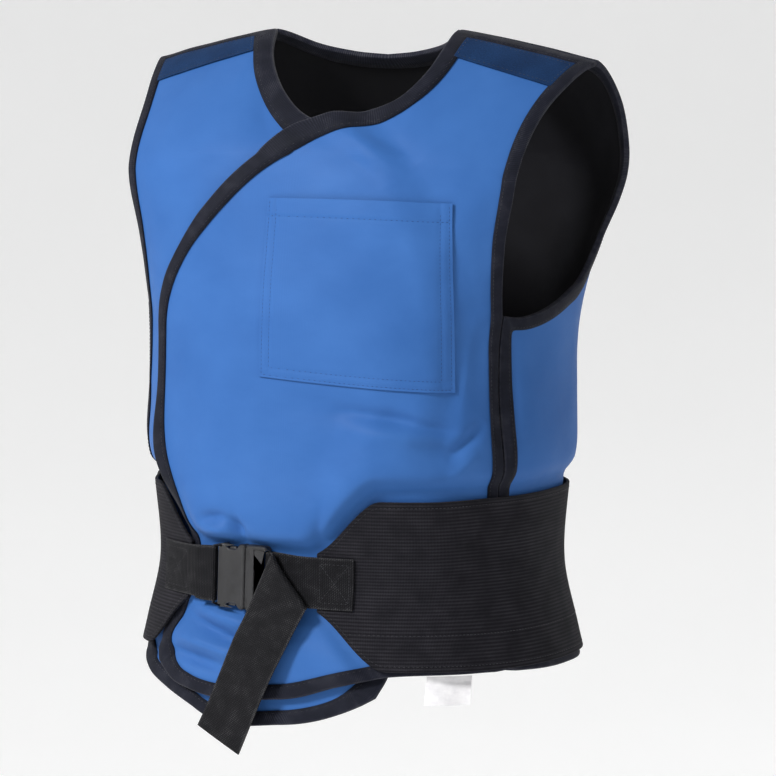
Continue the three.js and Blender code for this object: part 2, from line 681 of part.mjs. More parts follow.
function strapPoint(along, across) {
  if (along <= STRAP_RUN) return strapPlace(SEWN_LEFT_X - along, BELT_MIDDLE_Z + across, STRAP_LIFT);
  if (along < STRAP_RUN + STRAP_LOOP) {
    const angle = (along - STRAP_RUN) / LOOP_RADIUS;
    const x = BUCKLE_LEFT_X - LOOP_RADIUS * Math.sin(angle);
    return strapPlace(x, BELT_MIDDLE_Z + across, STRAP_LIFT + LOOP_RADIUS * (1 - Math.cos(angle)));
  }
  const alongFold = new THREE.Vector2(FOLD_SLANT, 1).normalize();
  const beyondFold = new THREE.Vector2(alongFold.y, -alongFold.x);
  const flat = new THREE.Vector2(along - STRAP_FOLD, across);
  const beyond = flat.dot(beyondFold);
  const angle = THREE.MathUtils.clamp(beyond / FOLD_RADIUS, 0, Math.PI);
  const returned = Math.max(0, beyond - Math.PI * FOLD_RADIUS);
  const out = Math.min(beyond, 0) + FOLD_RADIUS * Math.sin(angle) - returned;
  const place = alongFold.clone().multiplyScalar(flat.dot(alongFold)).addScaledVector(beyondFold, out);
  const layered = STRAP_LIFT + 2 * LOOP_RADIUS + FOLD_RADIUS * (1 - Math.cos(angle));
  const hang = smoothstep(returned, 45, 140);
  return strapPlace(FOLD_X + place.x, BELT_MIDDLE_Z + place.y, lerp(layered, TAIL_END_LIFT, hang));
}

// Rows of the strap: how far along its middle they cross, and how much they slant.
function strapRows() {
  const straight = (from, to, count) => unitSteps(count).map((s) => ({ along: lerp(from, to, s), slant: 0 }));
  const slanted = unitSteps(6).map((s) => ({
    along: STRAP_FOLD + s * Math.PI * FOLD_RADIUS * Math.hypot(1, FOLD_SLANT), slant: FOLD_SLANT,
  }));
  const tailStart = slanted.at(-1).along;
  const tail = unitSteps(9).slice(1).map((s) => ({
    along: lerp(tailStart, STRAP_LENGTH, s), slant: FOLD_SLANT * (1 - smoothstep(s, 0, 0.7)),
  }));
  return [
    ...straight(0, STRAP_RUN, 5),
    ...straight(STRAP_RUN, STRAP_RUN + STRAP_LOOP, 6).slice(1),
    ...slanted, ...tail,
  ];
}

const strapGrid = () => strapRows().map(({ along, slant }) =>
  unitSteps(4).map((share) => {
    const across = lerp(-0.5, 0.5, share) * WEBBING_WIDTH;
    return strapPoint(along + slant * across, across);
  }));

// The buckle

const BUCKLE_HEIGHT = 60;
const BUCKLE_BACK = -4; // from the bars' middle
const BUCKLE_FRONT = 5.6;
const BAR = 3; // the bars that the webbing turns round
const SPLIT_X = 7; // where the clip's shoulder meets the socket's mouth

function solid(geometry) {
  const bare = new THREE.BufferGeometry();
  bare.setAttribute('position', geometry.getAttribute('position'));
  if (geometry.getIndex()) bare.setIndex(geometry.getIndex());
  const merged = mergeVertices(bare, 1e-4);
  return new wasm.Manifold(new wasm.Mesh({
    numProp: 3,
    vertProperties: new Float32Array(merged.getAttribute('position').array),
    triVerts: new Uint32Array(merged.getIndex().array),
  }));
}

function geometryOf(manifold) {
  const mesh = manifold.getMesh();
  const geometry = new THREE.BufferGeometry();
  geometry.setAttribute('position', new THREE.BufferAttribute(mesh.vertProperties, 3));
  geometry.setIndex(new THREE.BufferAttribute(mesh.triVerts, 1));
  return geometry;
}

function box(x0, x1, y0, y1, z0, z1) {
  const geometry = new THREE.BoxGeometry(x1 - x0, y1 - y0, z1 - z0);
  return solid(geometry.translate((x0 + x1) / 2, (y0 + y1) / 2, (z0 + z1) / 2));
}

// A plate with a rounded outline, from a short list of corners with radii.
function plate(corners, bottom, top, bevel) {
  const shape = new THREE.Shape();
  corners.forEach((corner, i) => {
    const before = corners[(i + corners.length - 1) % corners.length];
    const after = corners[(i + 1) % corners.length];
    const towards = (to) => new THREE.Vector2(corner.x, corner.y)
      .addScaledVector(new THREE.Vector2(to.x - corner.x, to.y - corner.y).normalize(), corner.r);
    const [entry, leave] = [towards(before), towards(after)];
    if (i === 0) shape.moveTo(entry.x, entry.y);
    else shape.lineTo(entry.x, entry.y);
    shape.quadraticCurveTo(corner.x, corner.y, leave.x, leave.y);
  });
  const geometry = new THREE.ExtrudeGeometry(shape, {
    depth: top - bottom - 2 * bevel, curveSegments: 2,
    bevelEnabled: true, bevelThickness: bevel, bevelSize: bevel, bevelOffset: -bevel, bevelSegments: 1,
  });
  return solid(geometry.translate(0, 0, bottom + bevel));
}

const BUCKLE_HALF = BUCKLE_HEIGHT / 2;
const SLOT_HALF = WEBBING_WIDTH / 2 + 1.5;
const CAVITY = { half: 23.5, bottom: -2.4, top: 4 };
const PRONG = { bottom: -1.6, top: 3.2, inner: 17.5, outer: 22.5, hook: 27, tipX: -17 };

// Cuts that leave only a thin bar between x0 and x1, with a slot beside it up to slotX.
function barCuts(x0, x1, slotX) {
  const [slot0, slot1] = slotX > x1 ? [x1, slotX] : [slotX, x0];
  return [
    box(slot0, slot1, -SLOT_HALF, SLOT_HALF, -20, 20),
    box(x0 - 2, x1 + 2, -SLOT_HALF, SLOT_HALF, BAR / 2, 20),
    box(x0 - 2, x1 + 2, -SLOT_HALF, SLOT_HALF, -20, -BAR / 2),
  ];
}

function buckleSocket() {
  const corner = (x, y, r) => ({ x, y, r });
  const left = SPLIT_X - CLEARANCE / 2;
  const right = -BAR_X - BAR / 2;
  const body = plate([
    corner(right, -BUCKLE_HALF + 4, 3), corner(-16, -BUCKLE_HALF, 3), corner(-12, -BUCKLE_HALF + 5, 2),
    corner(-3, -BUCKLE_HALF + 5, 2), corner(1, -BUCKLE_HALF, 2), corner(left, -BUCKLE_HALF, 2),
    corner(left, BUCKLE_HALF, 2), corner(1, BUCKLE_HALF, 2), corner(-3, BUCKLE_HALF - 5, 2),
    corner(-12, BUCKLE_HALF - 5, 2), corner(-16, BUCKLE_HALF, 3), corner(right, BUCKLE_HALF - 4, 3),
  ], BUCKLE_BACK, BUCKLE_FRONT, 1.2);
  const cuts = [
    box(-19, left + 1, -CAVITY.half, CAVITY.half, CAVITY.bottom, CAVITY.top),
    box(-13, -2, -BUCKLE_HALF - 1, BUCKLE_HALF + 1, CAVITY.bottom, CAVITY.top),
    ...barCuts(right, -BAR_X + BAR / 2, -22),
  ];
  return geometryOf(cuts.reduce((whole, cut) => whole.subtract(cut), body));
}

function buckleClip() {
  const corner = (x, y, r) => ({ x, y, r });
  const right = SPLIT_X + CLEARANCE / 2;
  const left = BAR_X + BAR / 2;
  const base = plate([
    corner(right, -BUCKLE_HALF, 2), corner(left - 4, -BUCKLE_HALF, 2), corner(left, -BUCKLE_HALF + 4, 2),
    corner(left, BUCKLE_HALF - 4, 2), corner(left - 4, BUCKLE_HALF, 2), corner(right, BUCKLE_HALF, 2),
  ], BUCKLE_BACK, BUCKLE_FRONT, 1.2);
  const frame = barCuts(BAR_X - BAR / 2, left, 17).reduce((whole, cut) => whole.subtract(cut), base);
  const prong = (x0, x1, y0, y1) =>
    box(x0, x1, Math.min(y0, y1), Math.max(y0, y1), PRONG.bottom, PRONG.top);
  const prongs = [prong(-12, right + 3, -5, 5)];
  for (const side of [-1, 1]) {
    prongs.push(prong(PRONG.tipX, right + 3, side * PRONG.inner, side * PRONG.outer));
    prongs.push(prong(-11, -4, side * PRONG.inner, side * PRONG.hook));
  }
  return geometryOf(prongs.reduce((whole, part) => whole.add(part), frame));
}

// The blank label that hangs from the outer panel's hem, below the left wing.
const LABEL = { fromX: 130, toX: 164, topZ: -564.4, bottomZ: -590, thick: 0.8 };

function labelGrid() {
  return patchGrid(4, 2, (across, up) => {
    const x = lerp(LABEL.fromX, LABEL.toX, across);
    const z = lerp(LABEL.bottomZ, LABEL.topZ, up);
    return onFront(x, z, wrapLift(turnAt(x, LABEL.topZ), LABEL.topZ));
  });
}

// Finishes and assembly

const FINISHES = {
  cover: { color: 0x3f6db8, roughness: 0.6 },
  binding: { color: 0x14141c, roughness: 0.75 },
  yoke: { color: 0x17305a, roughness: 0.9 },
  belt: { color: 0x1b1a21, roughness: 0.85 },
  webbing: { color: 0x131316, roughness: 0.7 },
  plastic: { color: 0x18181a, roughness: 0.35 },
  label: { color: 0xf2f0f2, roughness: 0.7 },
};

const vest = new THREE.Group();

function place(name, geometry, finish) {
  const mesh = new THREE.Mesh(geometry, new THREE.MeshStandardMaterial({ ...FINISHES[finish], metalness: 0 }));
  mesh.name = name;
  vest.add(mesh);
}

const leftFront = frontPanelPattern(1, OUTER_EDGE, CHEST_PLACES, OUTER_HEM);
const rightFront = frontPanelPattern(-1, UNDER_EDGE, UNDER_CHEST_PLACES, UNDER_HEM);
const panels = [
  { name: 'left_front', grid: panelGrid(leftFront, wrapLift) },
  { name: 'right_front', grid: panelGrid(rightFront, () => 0) },
  { name: 'back', grid: panelGrid(backPanelPattern(), () => 0) },
];
for (const { name, grid } of panels) {
  place(`${name}_panel`, wallOf(grid, WALL), 'cover');
  place(`${name}_binding`, bindingOf(grid), 'binding');
}

place('left_yoke', wallOf(yokeGrid(1, wrapLift), YOKE_THICK), 'yoke');
place('right_yoke', wallOf(yokeGrid(-1, () => 0), YOKE_THICK), 'yoke');
place('chest_pocket', wallOf(pocketGrid(), POCKET_THICK), 'cover');
place('lumbar_belt', wallOf(beltGrid(), BELT_THICK), 'belt');
place('fixed_webbing', wallOf(fixedWebbingGrid(), WEBBING_THICK), 'webbing');
place('long_strap', wallOf(strapGrid(), WEBBING_THICK), 'webbing');
place('hem_label', wallOf(labelGrid(), LABEL.thick), 'label');

place('buckle_socket', buckleSocket().applyMatrix4(buckleFrame), 'plastic');
place('buckle_clip', buckleClip().applyMatrix4(buckleFrame), 'plastic');

export default vest;
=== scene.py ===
# %% [markdown]
# # A wrap-front lead x-ray vest
# The real vest is a heavy lead-filled sheet in a blue cloth cover with a black lining. Three panels make
# it: an outer front that wraps over an under front, and a back. Dark tape binds every edge, a navy yoke
# tops each front, and a wide black belt with webbing and a side-release buckle draws the waist in. Each
# piece is cut flat here, as a tailor would cut it, and then bent to the form it has when worn. The packed
# solids are loaded first, because every new piece takes the place of one of them.

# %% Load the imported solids
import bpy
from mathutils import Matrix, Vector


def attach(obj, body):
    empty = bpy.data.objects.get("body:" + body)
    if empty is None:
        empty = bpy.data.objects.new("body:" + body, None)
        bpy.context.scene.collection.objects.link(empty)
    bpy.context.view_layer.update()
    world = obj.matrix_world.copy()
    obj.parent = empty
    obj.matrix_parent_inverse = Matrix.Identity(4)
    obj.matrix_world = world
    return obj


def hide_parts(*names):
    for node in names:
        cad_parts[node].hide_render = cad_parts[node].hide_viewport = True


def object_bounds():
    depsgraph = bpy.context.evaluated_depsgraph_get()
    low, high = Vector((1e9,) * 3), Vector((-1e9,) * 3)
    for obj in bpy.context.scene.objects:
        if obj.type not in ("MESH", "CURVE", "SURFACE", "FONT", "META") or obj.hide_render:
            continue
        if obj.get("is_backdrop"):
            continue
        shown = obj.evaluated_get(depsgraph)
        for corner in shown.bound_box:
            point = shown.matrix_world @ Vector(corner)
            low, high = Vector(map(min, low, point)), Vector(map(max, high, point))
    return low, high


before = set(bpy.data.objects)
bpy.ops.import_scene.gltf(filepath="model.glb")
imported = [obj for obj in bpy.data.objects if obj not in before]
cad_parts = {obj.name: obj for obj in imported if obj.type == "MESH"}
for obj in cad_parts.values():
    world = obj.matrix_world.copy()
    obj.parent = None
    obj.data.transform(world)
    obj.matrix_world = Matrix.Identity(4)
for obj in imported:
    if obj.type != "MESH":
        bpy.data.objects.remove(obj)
solid_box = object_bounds()
print("solids to dress:", ", ".join(sorted(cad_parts)))

# %% [markdown]
# Shapes are worked out with numbers first and become meshes last. NumPy moves thousands of points at once,
# and bmesh is Blender's own workshop for cutting, folding and rounding a mesh.

# %% Tools and units
import math

import bmesh
import bpy
import numpy as np
from mathutils import Matrix, Vector, noise

MM = 0.001  # the pattern is drawn in millimetres, and Blender works in metres
print("one millimetre is", MM, "of Blender's units")

# %% [markdown]
# ## The form of the worn vest
# A worn vest is round and hollow. One could sculpt its form, but a few measured sections are easier to
# correct: half the width, and the depth in front and behind, at some heights below the shoulders. A smooth
# curve through each column gives the sections between them.

# %% Sections of the form
FORM = [  # height, half width, depth in front, depth behind
    (10, 264, 100, 90),
    (0, 264, 104, 92),
    (-60, 264, 122, 104),
    (-120, 254, 138, 116),
    (-180, 225, 150, 121),
    (-240, 206, 158, 119),
    (-320, 198, 161, 112),
    (-400, 191, 158, 104),
    (-480, 187, 152, 98),
    (-540, 201, 160, 101),
    (-620, 221, 172, 110),
    (-680, 232, 179, 114),
]


def hermite(start, start_slope, end, end_slope, share):
    """A smooth way from one value to another, leaving and arriving with the given slopes."""
    square, cube = share**2, share**3
    leaving = (2 * cube - 3 * square + 1) * start + (cube - 2 * square + share) * start_slope
    return leaving + (3 * square - 2 * cube) * end + (cube - square) * end_slope


def smooth_column(rows, column):
    """A smooth curve through one column of a table, against the table's first column."""
    at, value = np.array(sorted((row[0], row[column]) for row in rows), float).T
    secant = np.diff(value) / np.diff(at)
    slope = np.concatenate([secant[:1], (secant[:-1] + secant[1:]) / 2, secant[-1:]])

    def curve(where):
        where = np.clip(where, at[0], at[-1])
        i = np.clip(np.searchsorted(at, where, side="right"), 1, len(at) - 1)
        step = at[i] - at[i - 1]
        share = (where - at[i - 1]) / step
        return hermite(value[i - 1], slope[i - 1] * step, value[i], slope[i] * step, share)

    return curve


half_width_at, front_at, back_at = (smooth_column(FORM, column) for column in (1, 2, 3))
print("half the waist's width:", round(float(half_width_at(-480.0)), 1), "mm")

# %% [markdown]
# A place on the form is found by a turn, an angle round it from the middle of the front towards the vest's
# left as worn, and a height. The sections are rounded boxes rather than ellipses. Near the shoulder line
# the front and the back draw together in a soft ridge that falls from the neck to the shoulder's tip.

# %% Places on the form
NECK_HALF_WIDTH, SHOULDER_HALF_WIDTH = 96, 226
SHOULDER_RISE, SHOULDER_DROP, SHOULDER_TIP_BACK = 9, 27, 12
SHOULDER_CURVE, SHOULDER_FALL, SHOULDER_SHARPNESS = 1.2, 110, 1.5
SECTION_POWER = 2 / 2.4  # 1 would make every section an ellipse


def signed_power(value, power):
    return np.sign(value) * np.abs(value) ** power


def smoothstep(value, low, high):
    share = np.clip((value - low) / (high - low), 0, 1)
    return share * share * (3 - 2 * share)


def blend(low, high, share):
    return low + (high - low) * share


def along_shoulder(x):
    """0 at the neck and 1 at the shoulder's tip."""
    return np.maximum(0, (np.abs(x) - NECK_HALF_WIDTH) / (SHOULDER_HALF_WIDTH - NECK_HALF_WIDTH))


def ridge_height(x):
    return SHOULDER_RISE - SHOULDER_DROP * along_shoulder(x) ** SHOULDER_CURVE


def form_place(turn, z):
    sine, cosine = np.sin(np.radians(turn)), np.cos(np.radians(turn))
    x = half_width_at(z) * signed_power(sine, SECTION_POWER)
    depth = np.where(cosine > 0, front_at(z), back_at(z))
    y = -depth * signed_power(cosine, SECTION_POWER)
    ridge_y = SHOULDER_TIP_BACK * along_shoulder(x)
    below = np.clip((ridge_height(x) - z) / SHOULDER_FALL, 0, 1)
    swell = (1 - (1 - below) ** SHOULDER_SHARPNESS) ** (1 / SHOULDER_SHARPNESS)
    return np.stack([x, ridge_y + (y - ridge_y) * swell, z + 0 * x], -1)


def unit(vectors):
    return vectors / np.linalg.norm(vectors, axis=-1, keepdims=True)


def form_normal(turn, z):
    """Which way the form faces, from two short steps along it."""
    step = 0.5
    down = np.minimum(z, ridge_height(form_place(turn, z)[..., 0]) - 2 * step)
    across = form_place(turn + step, down) - form_place(turn - step, down)
    up = form_place(turn, down + step) - form_place(turn, down - step)
    return unit(np.cross(across, up))


def turn_at(x, z, behind=False):
    """The turn at which the front, or the back, lies x to the side."""
    share = np.clip(np.abs(x) / half_width_at(z), 0, 1)
    turn = np.sign(x) * np.degrees(np.arcsin(share ** (1 / SECTION_POWER)))
    return 180 - turn if behind else turn


print("front of the chest:", np.round(form_place(0.0, -200.0), 1))

# %% [markdown]
# ## How the cloth lies on the form
# The belt draws the vest in, so the heavy cloth swells out above and below it. The outer front rides over
# the under front and comes back to the form beyond the under front's hidden edge. Both are simple
# functions of the place, so the tape, the yokes and the pocket can use the same ones and stay on the
# cloth.

# %% Belt, swelling and overlap
BELT_MIDDLE_Z, BELT_HALF_HEIGHT, BELT_THICK = -483, 78, 3
BELT_CENTRE_TURN, BELT_TIP_TURN, BELT_TAPER_TURN = -10.5, 17.5, 17
BLOUSE, BLOUSE_START, BLOUSE_REACH = 5, 9, 34
WEBBING_WIDTH, WEBBING_THICK = 50, 1.6
WRAP_LIFT = 7.4  # the outer front's middle over that of the under front
WRAP_FADE = (26, 70)  # where the outer front comes down again, beyond the under front's edge

UNDER_EDGE = [  # height, side: the under front's free edge
    (-583, 88), (-556, 98), (-480, 98), (-400, 98), (-300, 99), (-230, 97), (-180, 85),
    (-134, 64), (-98, 37), (-74, 8), (-59, -24), (-38, -52), (-14, -76),
]
under_edge_at = smooth_column(UNDER_EDGE, 1)


def from_buckle(turn):
    """How many degrees round the form a turn lies from the middle of the belt's front."""
    return np.abs((turn - BELT_CENTRE_TURN + 180) % 360 - 180)


def belt_half_height(turn):
    """The webbing's half width at the front, a wing at each side and the full belt behind."""
    wing = smoothstep(from_buckle(turn), BELT_TIP_TURN - 3, BELT_TIP_TURN + BELT_TAPER_TURN)
    return WEBBING_WIDTH / 2 + (BELT_HALF_HEIGHT - WEBBING_WIDTH / 2) * wing


def outside_belt(turn, z):
    return np.abs(z - BELT_MIDDLE_Z) - belt_half_height(turn)


def blouse(turn, z):
    outside = np.maximum(0, (outside_belt(turn, z) - BLOUSE_START) / BLOUSE_REACH)
    return BLOUSE * outside * np.exp(1 - outside)


def wrap_lift(turn, z):
    beyond = form_place(turn, z)[..., 0] - under_edge_at(z)
    return WRAP_LIFT * (1 - smoothstep(beyond, *WRAP_FADE))


def no_lift(turn, z):
    return 0 * turn


print("swelling well above the belt:", round(float(blouse(90.0, -370.0)), 1), "mm")

# %% [markdown]
# Folds are what make cloth look like cloth. The lead sheet is stiff, so they are few and broad: a crease
# down the left side, one under the pocket, small pleats where the strap gathers the cloth, and slanting
# dents below it. A table keeps each one as a line on the pattern with a width and a height, and a smooth
# bell across the line gives its form.

# %% Folds and creases
GIRTH_RADIUS = 170  # of the cylinder that the flat pattern is drawn on
FOLDS = [  # start turn, start height, end turn, end height, width, height of the fold
    (4, -322, 26, -326, 14, -2.5),
    (50, -268, 40, -362, 20, -4.0),
    (-30, -528, -18, -552, 13, -3.0),
]
CREASES = [
    # a pinched pleat over the strap, near the free edge
    (-22, -430, -11, -424, 4.5, -7.0),
    (-12, -424, -8, -442, 4.5, -7.0),
    (-22, -439, -10, -437, 7, 5.0),
    # beside the pocket, where the front turns to the side
    (62, -230, 61, -398, 14, -6.5),
    (50, -232, 45, -372, 13, 4.2),
    (55, -336, 42, -368, 6, -5.5),
    (53, -362, 43, -384, 7, 2.4),
    # below the pocket
    (10, -324, 34, -334, 6, -5.5),
    (22, -328, 48, -346, 6, -5.5),
    (12, -338, 42, -351, 9, 4.0),
    (31, -350, 48, -364, 6, -2.8),
    # slanting dents under the strap
    (-28, -510, -2, -533, 6, 6.5),
    (-30, -524, -2, -551, 5.5, -11.0),
    (-32, -543, -5, -558, 6, 6.5),
    (-34, -558, -9, -571, 5.5, -10.0),
    (-4, -520, 14, -546, 8, -2.4),
    # drape below the neck
    (4, -69, 23, -104, 8, -2.6),
    (1, -80, 17, -128, 9, -2.4),
    (2, -74, 21, -116, 7, 1.7),
    (-12, -34, -5, -88, 8, -2.6),
    (-18, -110, -28, -200, 16, 1.6),
    (40, -120, 30, -230, 22, 1.6),
    (-8, -250, -20, -400, 22, 1.8),
    # the back
    (136, -392, 226, -388, 15, 2.8),
    (146, -366, 190, -373, 10, -3.2),
    (192, -355, 230, -367, 10, -2.8),
    (112, -150, 142, -276, 20, -4.0),
    (248, -150, 220, -264, 20, -4.0),
    (160, -50, 170, -190, 24, 2.2),
]


def bells(turn, z, table, sharpness=2.0, tapered=False):
    """The height of every fold of a table at a place; a tapered fold runs out to nothing at its ends."""
    across = GIRTH_RADIUS * np.radians(turn)
    total = 0 * across
    for start_turn, start_z, end_turn, end_z, width, height in table:
        start = GIRTH_RADIUS * math.radians(start_turn)
        run = GIRTH_RADIUS * math.radians(end_turn) - start
        fall = end_z - start_z
        share = np.clip(((across - start) * run + (z - start_z) * fall) / (run**2 + fall**2), 0, 1)
        away = np.hypot(across - start - share * run, z - start_z - share * fall) / width
        strength = np.sin(math.pi * share) if tapered else 1
        total = total + height * strength * np.exp(-(away**sharpness))
    return total


print("folds:", len(FOLDS), "and creases:", len(CREASES))

# %% [markdown]
# Over the belt the cloth has more length than room, so it bulges. Right beside the strap the bulge rises
# at once, and beside a wing it leaves a narrow flat strip first. Above its crest it runs out slowly. A few
# sharp valleys part it into scallops, and the stiff tape of the free edge holds it down. It could be
# sculpted by hand, but as a formula it also moves the tape and the stitches that lie on it.

# %% The bulge over the belt
BULGE, BULGE_RISE, BULGE_FADE = 11, 19, 46  # height, and the way up to the crest and down again
STRAP_STRIP, WING_STRIP = 1, 6  # flat cloth between the belt and the bulge
WING_STARTS = (6, 15)  # turns over which the one strip becomes the other
SCALLOP_VALLEYS = [(-24, -0.10), (-8.5, -0.03), (7, 0.05)]  # turn, lean for each mm up
VALLEY_WIDTH, VALLEY_RUN, VALLEY_DEPTH, VALLEY_SHARPNESS = 2.2, 32, 0.8, 1.3
SIDE_TURNS, SIDE_LOSS = (24, 60), 0.5  # degrees from the buckle over which half the bulge is lost
TAPE_TURN, TAPE_SPREAD, TAPE_HOLD = -33, 7, 0.8  # where the free edge's tape holds it down, and how much
BELOW_SHARE = 0.3  # of the bulge that is left below the belt


def bulge(turn, z):
    away = np.maximum(outside_belt(turn, z), 0)
    rise = away - blend(STRAP_STRIP, WING_STRIP, smoothstep(turn, *WING_STARTS))
    crest = smoothstep(rise, 0, BULGE_RISE)
    crest = crest * np.exp(-((np.maximum(rise - BULGE_RISE, 0) / BULGE_FADE) ** 2))
    valley = 0 * away
    for valley_turn, lean in SCALLOP_VALLEYS:
        aside = np.abs(turn - valley_turn - lean * away) / VALLEY_WIDTH
        valley = np.maximum(valley, np.exp(-(aside**VALLEY_SHARPNESS)))
    scallops = 1 - VALLEY_DEPTH * valley * np.exp(-((away / VALLEY_RUN) ** 2))
    near_strap = 1 - SIDE_LOSS * smoothstep(from_buckle(turn), *SIDE_TURNS)
    at_tape = TAPE_HOLD * np.exp(-(((turn - TAPE_TURN) / TAPE_SPREAD) ** 2))
    parted = np.where(z > BELT_MIDDLE_Z, scallops, BELOW_SHARE)
    return BULGE * crest * near_strap * (1 - at_tape) * parted


print("bulge over the strap:", round(float(bulge(np.array(0.0), np.array(-437.0))), 1), "mm")

# %% [markdown]
# No worn cloth is perfectly even. A low random lumpiness takes away the last of the too clean surface. It
# comes from a fixed noise pattern, so every run gives the same vest. Swelling, folds, bulge and lumps add
# up to one relief, and every piece that lies on the cloth asks the same function where the cloth is.

# %% The whole relief of the worn cloth
LUMPS = [(1.5, 62, 88, 3.1), (0.5, 24, 30, 7.7)]  # height, width, length, and a layer of the noise
CREASE_SHARPNESS = 1.6
PRESSED_RIM = 12  # beside the belt, where the creases begin again


def unevenness(turn, z):
    """A soft lumpiness of about a millimetre, the same on every run."""
    across = GIRTH_RADIUS * np.radians(np.ravel(turn))
    lumps = [
        sum(height * noise.noise(Vector((a / wide, b / long, layer))) for height, wide, long, layer in LUMPS)
        for a, b in zip(across, np.ravel(z))
    ]
    return np.reshape(lumps, np.shape(turn))


def relief(turn, z):
    """All that raises the cloth over the form, flattened where the belt presses on it."""
    free = smoothstep(outside_belt(turn, z), 0, PRESSED_RIM)
    drawn = bells(turn, z, CREASES, CREASE_SHARPNESS, tapered=True)
    return blouse(turn, z) + bells(turn, z, FOLDS) + bulge(turn, z) + free * (drawn + unevenness(turn, z))


def worn_place(turn, z, lift):
    turn, z = np.broadcast_arrays(np.asarray(turn, float), np.asarray(z, float))
    raised = lift + relief(turn, z)
    return form_place(turn, z) + form_normal(turn, z) * raised[..., None]


print("relief in the middle of the chest:", np.round(relief(np.array([0.0]), np.array([-200.0])), 1), "mm")

# %% [markdown]
# ## The flat pattern
# A tailor draws a panel flat and lets it find its shape when worn. The pattern's x is the way round the
# form and its y is the drop below the shoulder line, stretched near the shoulder where the cloth runs
# level. Two functions lead from the form to the paper and back.

# %% From the form to the paper and back
SHOULDER_STRETCH = 1.5
HEIGHT_PASSES = 4  # a height depends on the shoulder above it, so it is found in a few rounds


def on_pattern(turn, z):
    below = np.maximum(ridge_height(form_place(turn, z)[..., 0]) - z, 0)
    stretched = SHOULDER_FALL * (below / SHOULDER_FALL) ** (1 / SHOULDER_STRETCH)
    drop = np.where(below > SHOULDER_FALL, below, stretched)
    return np.stack([GIRTH_RADIUS * np.radians(turn), -drop], -1)


def from_pattern(flat):
    turn = np.degrees(flat[..., 0] / GIRTH_RADIUS)
    drop = np.maximum(-flat[..., 1], 0)
    below = np.where(drop > SHOULDER_FALL, drop, SHOULDER_FALL * (drop / SHOULDER_FALL) ** SHOULDER_STRETCH)
    z = -below
    for _ in range(HEIGHT_PASSES):
        z = ridge_height(form_place(turn, z)[..., 0]) - below
    return turn, z


def front_pattern(x, z):
    return on_pattern(turn_at(x, z), z)


def back_pattern(x, z):
    return on_pattern(turn_at(x, z, behind=True), z)


print("the waist's middle on the paper:", np.round(on_pattern(0.0, -480.0), 1))

# %% [markdown]
# The outlines are smooth lines through a few places, drawn like a tailor's curve through pencil marks. A
# line is asked for a share of its length, and two lines can be joined where the cloth has a corner, as at
# the armpit.

# %% Smooth lines on the paper
LINE_STEPS = 40


def run_along(places):
    """How far along a line each of its places lies."""
    return np.concatenate([[0], np.cumsum(np.linalg.norm(np.diff(places, axis=0), axis=1))])


def smooth_line(marks):
    marks = np.array(marks, float)
    ends = np.vstack([2 * marks[0] - marks[1], marks, 2 * marks[-1] - marks[-2]])
    share = np.linspace(0, 1, LINE_STEPS + 1)[1:, None]
    line = [marks[:1]]
    for a, b, c, d in zip(ends, ends[1:], ends[2:], ends[3:]):
        before, here, after = (np.linalg.norm(q - p) ** 0.5 for p, q in ((a, b), (b, c), (c, d)))
        leaving = ((b - a) / before - (c - a) / (before + here) + (c - b) / here) * here
        arriving = ((c - b) / here - (d - b) / (here + after) + (d - c) / after) * here
        line.append(hermite(b, leaving, c, arriving, share))
    line = np.vstack(line)
    length = run_along(line)

    def at(part):
        return np.stack([np.interp(part, length / length[-1], line[:, k]) for k in (0, 1)], -1)

    at.share_of = lambda mark: length[LINE_STEPS * mark] / length[-1]
    return at


def joined(first, second, meet):
    def at(part):
        low, high = np.clip(part / meet, 0, 1), np.clip((part - meet) / (1 - meet), 0, 1)
        return np.where(np.asarray(part)[..., None] < meet, first(low), second(high))

    return at


print("a straight line's middle:", smooth_line([(0, 0), (50, 0), (100, 0)])(0.5))

# %% [markdown]
# ## The outlines of the three panels
# These marks were read off the real vest: the outer front's free edge runs from its rounded corner up the
# right side, across the chest and round the neck. The under front's edge is hidden. The side seams and the
# armholes are the same on both sides, so the right side mirrors the left.

# %% Side seams, armholes and free edges
SIDE_SEAM = [(60.5, -560), (61.5, -480), (62, -400), (60.5, -320), (58.5, -243)]  # turn, height
SIDE_SEAM_GAP = 1.4  # degrees between a front's edge and the back's
FRONT_ARMHOLE = [(183, -200), (189, -160), (196, -125), (200, -90), (206, -58), (216, -34)]  # side, height
BACK_ARMHOLE = [
    (66, -245), (75, -241), (85, -230), (95, -210), (103, -180), (108, -146), (111.5, -108), (116, -62),
]  # turn, height
OUTER_EDGE = [  # side, height
    (-132, -572), (-137, -550), (-122, -522), (-105, -492), (-101, -462), (-110, -434), (-127, -402),
    (-138, -360), (-140, -305), (-140, -246), (-132, -214), (-112, -181), (-86, -147), (-57, -117),
    (-29, -94), (-8, -79), (22, -69), (54, -63), (80, -51), (95, -29), (98, -8),
]
OUTER_HEM = [(-110, -588), (-66, -595), (0, -590), (56, -575), (110, -563)]
UNDER_HEM = [(-120, -599), (-60, -618), (10, -612), (60, -598)]
BACK_NECK = [(68, -4), (34, -12), (0, -15)]
BACK_HEM = [(110, -566), (180, -574), (250, -566)]  # turn, height
FRONT_SIDE_SHARE, BACK_SIDE_SHARE = 0.5, 0.36  # of a panel's rows that lie below the armpit
BACK_SHOULDER_SHARE = 5 / 9  # of half the back's columns that lie along the shoulder
CHEST_MARK, UNDER_CHEST_MARK = 12, 6  # marks of the free edges that are level with the armpit
SHOULDER_EDGE_DROP = (2.6, 3.8)  # on the paper, at the neck and at the tip


def shoulder_mark(x, pattern):
    """A place of a panel's edge on the shoulder, where the front and the back meet."""
    drop = blend(*SHOULDER_EDGE_DROP, along_shoulder(x))
    return np.array([pattern(x, ridge_height(x))[0], -drop])


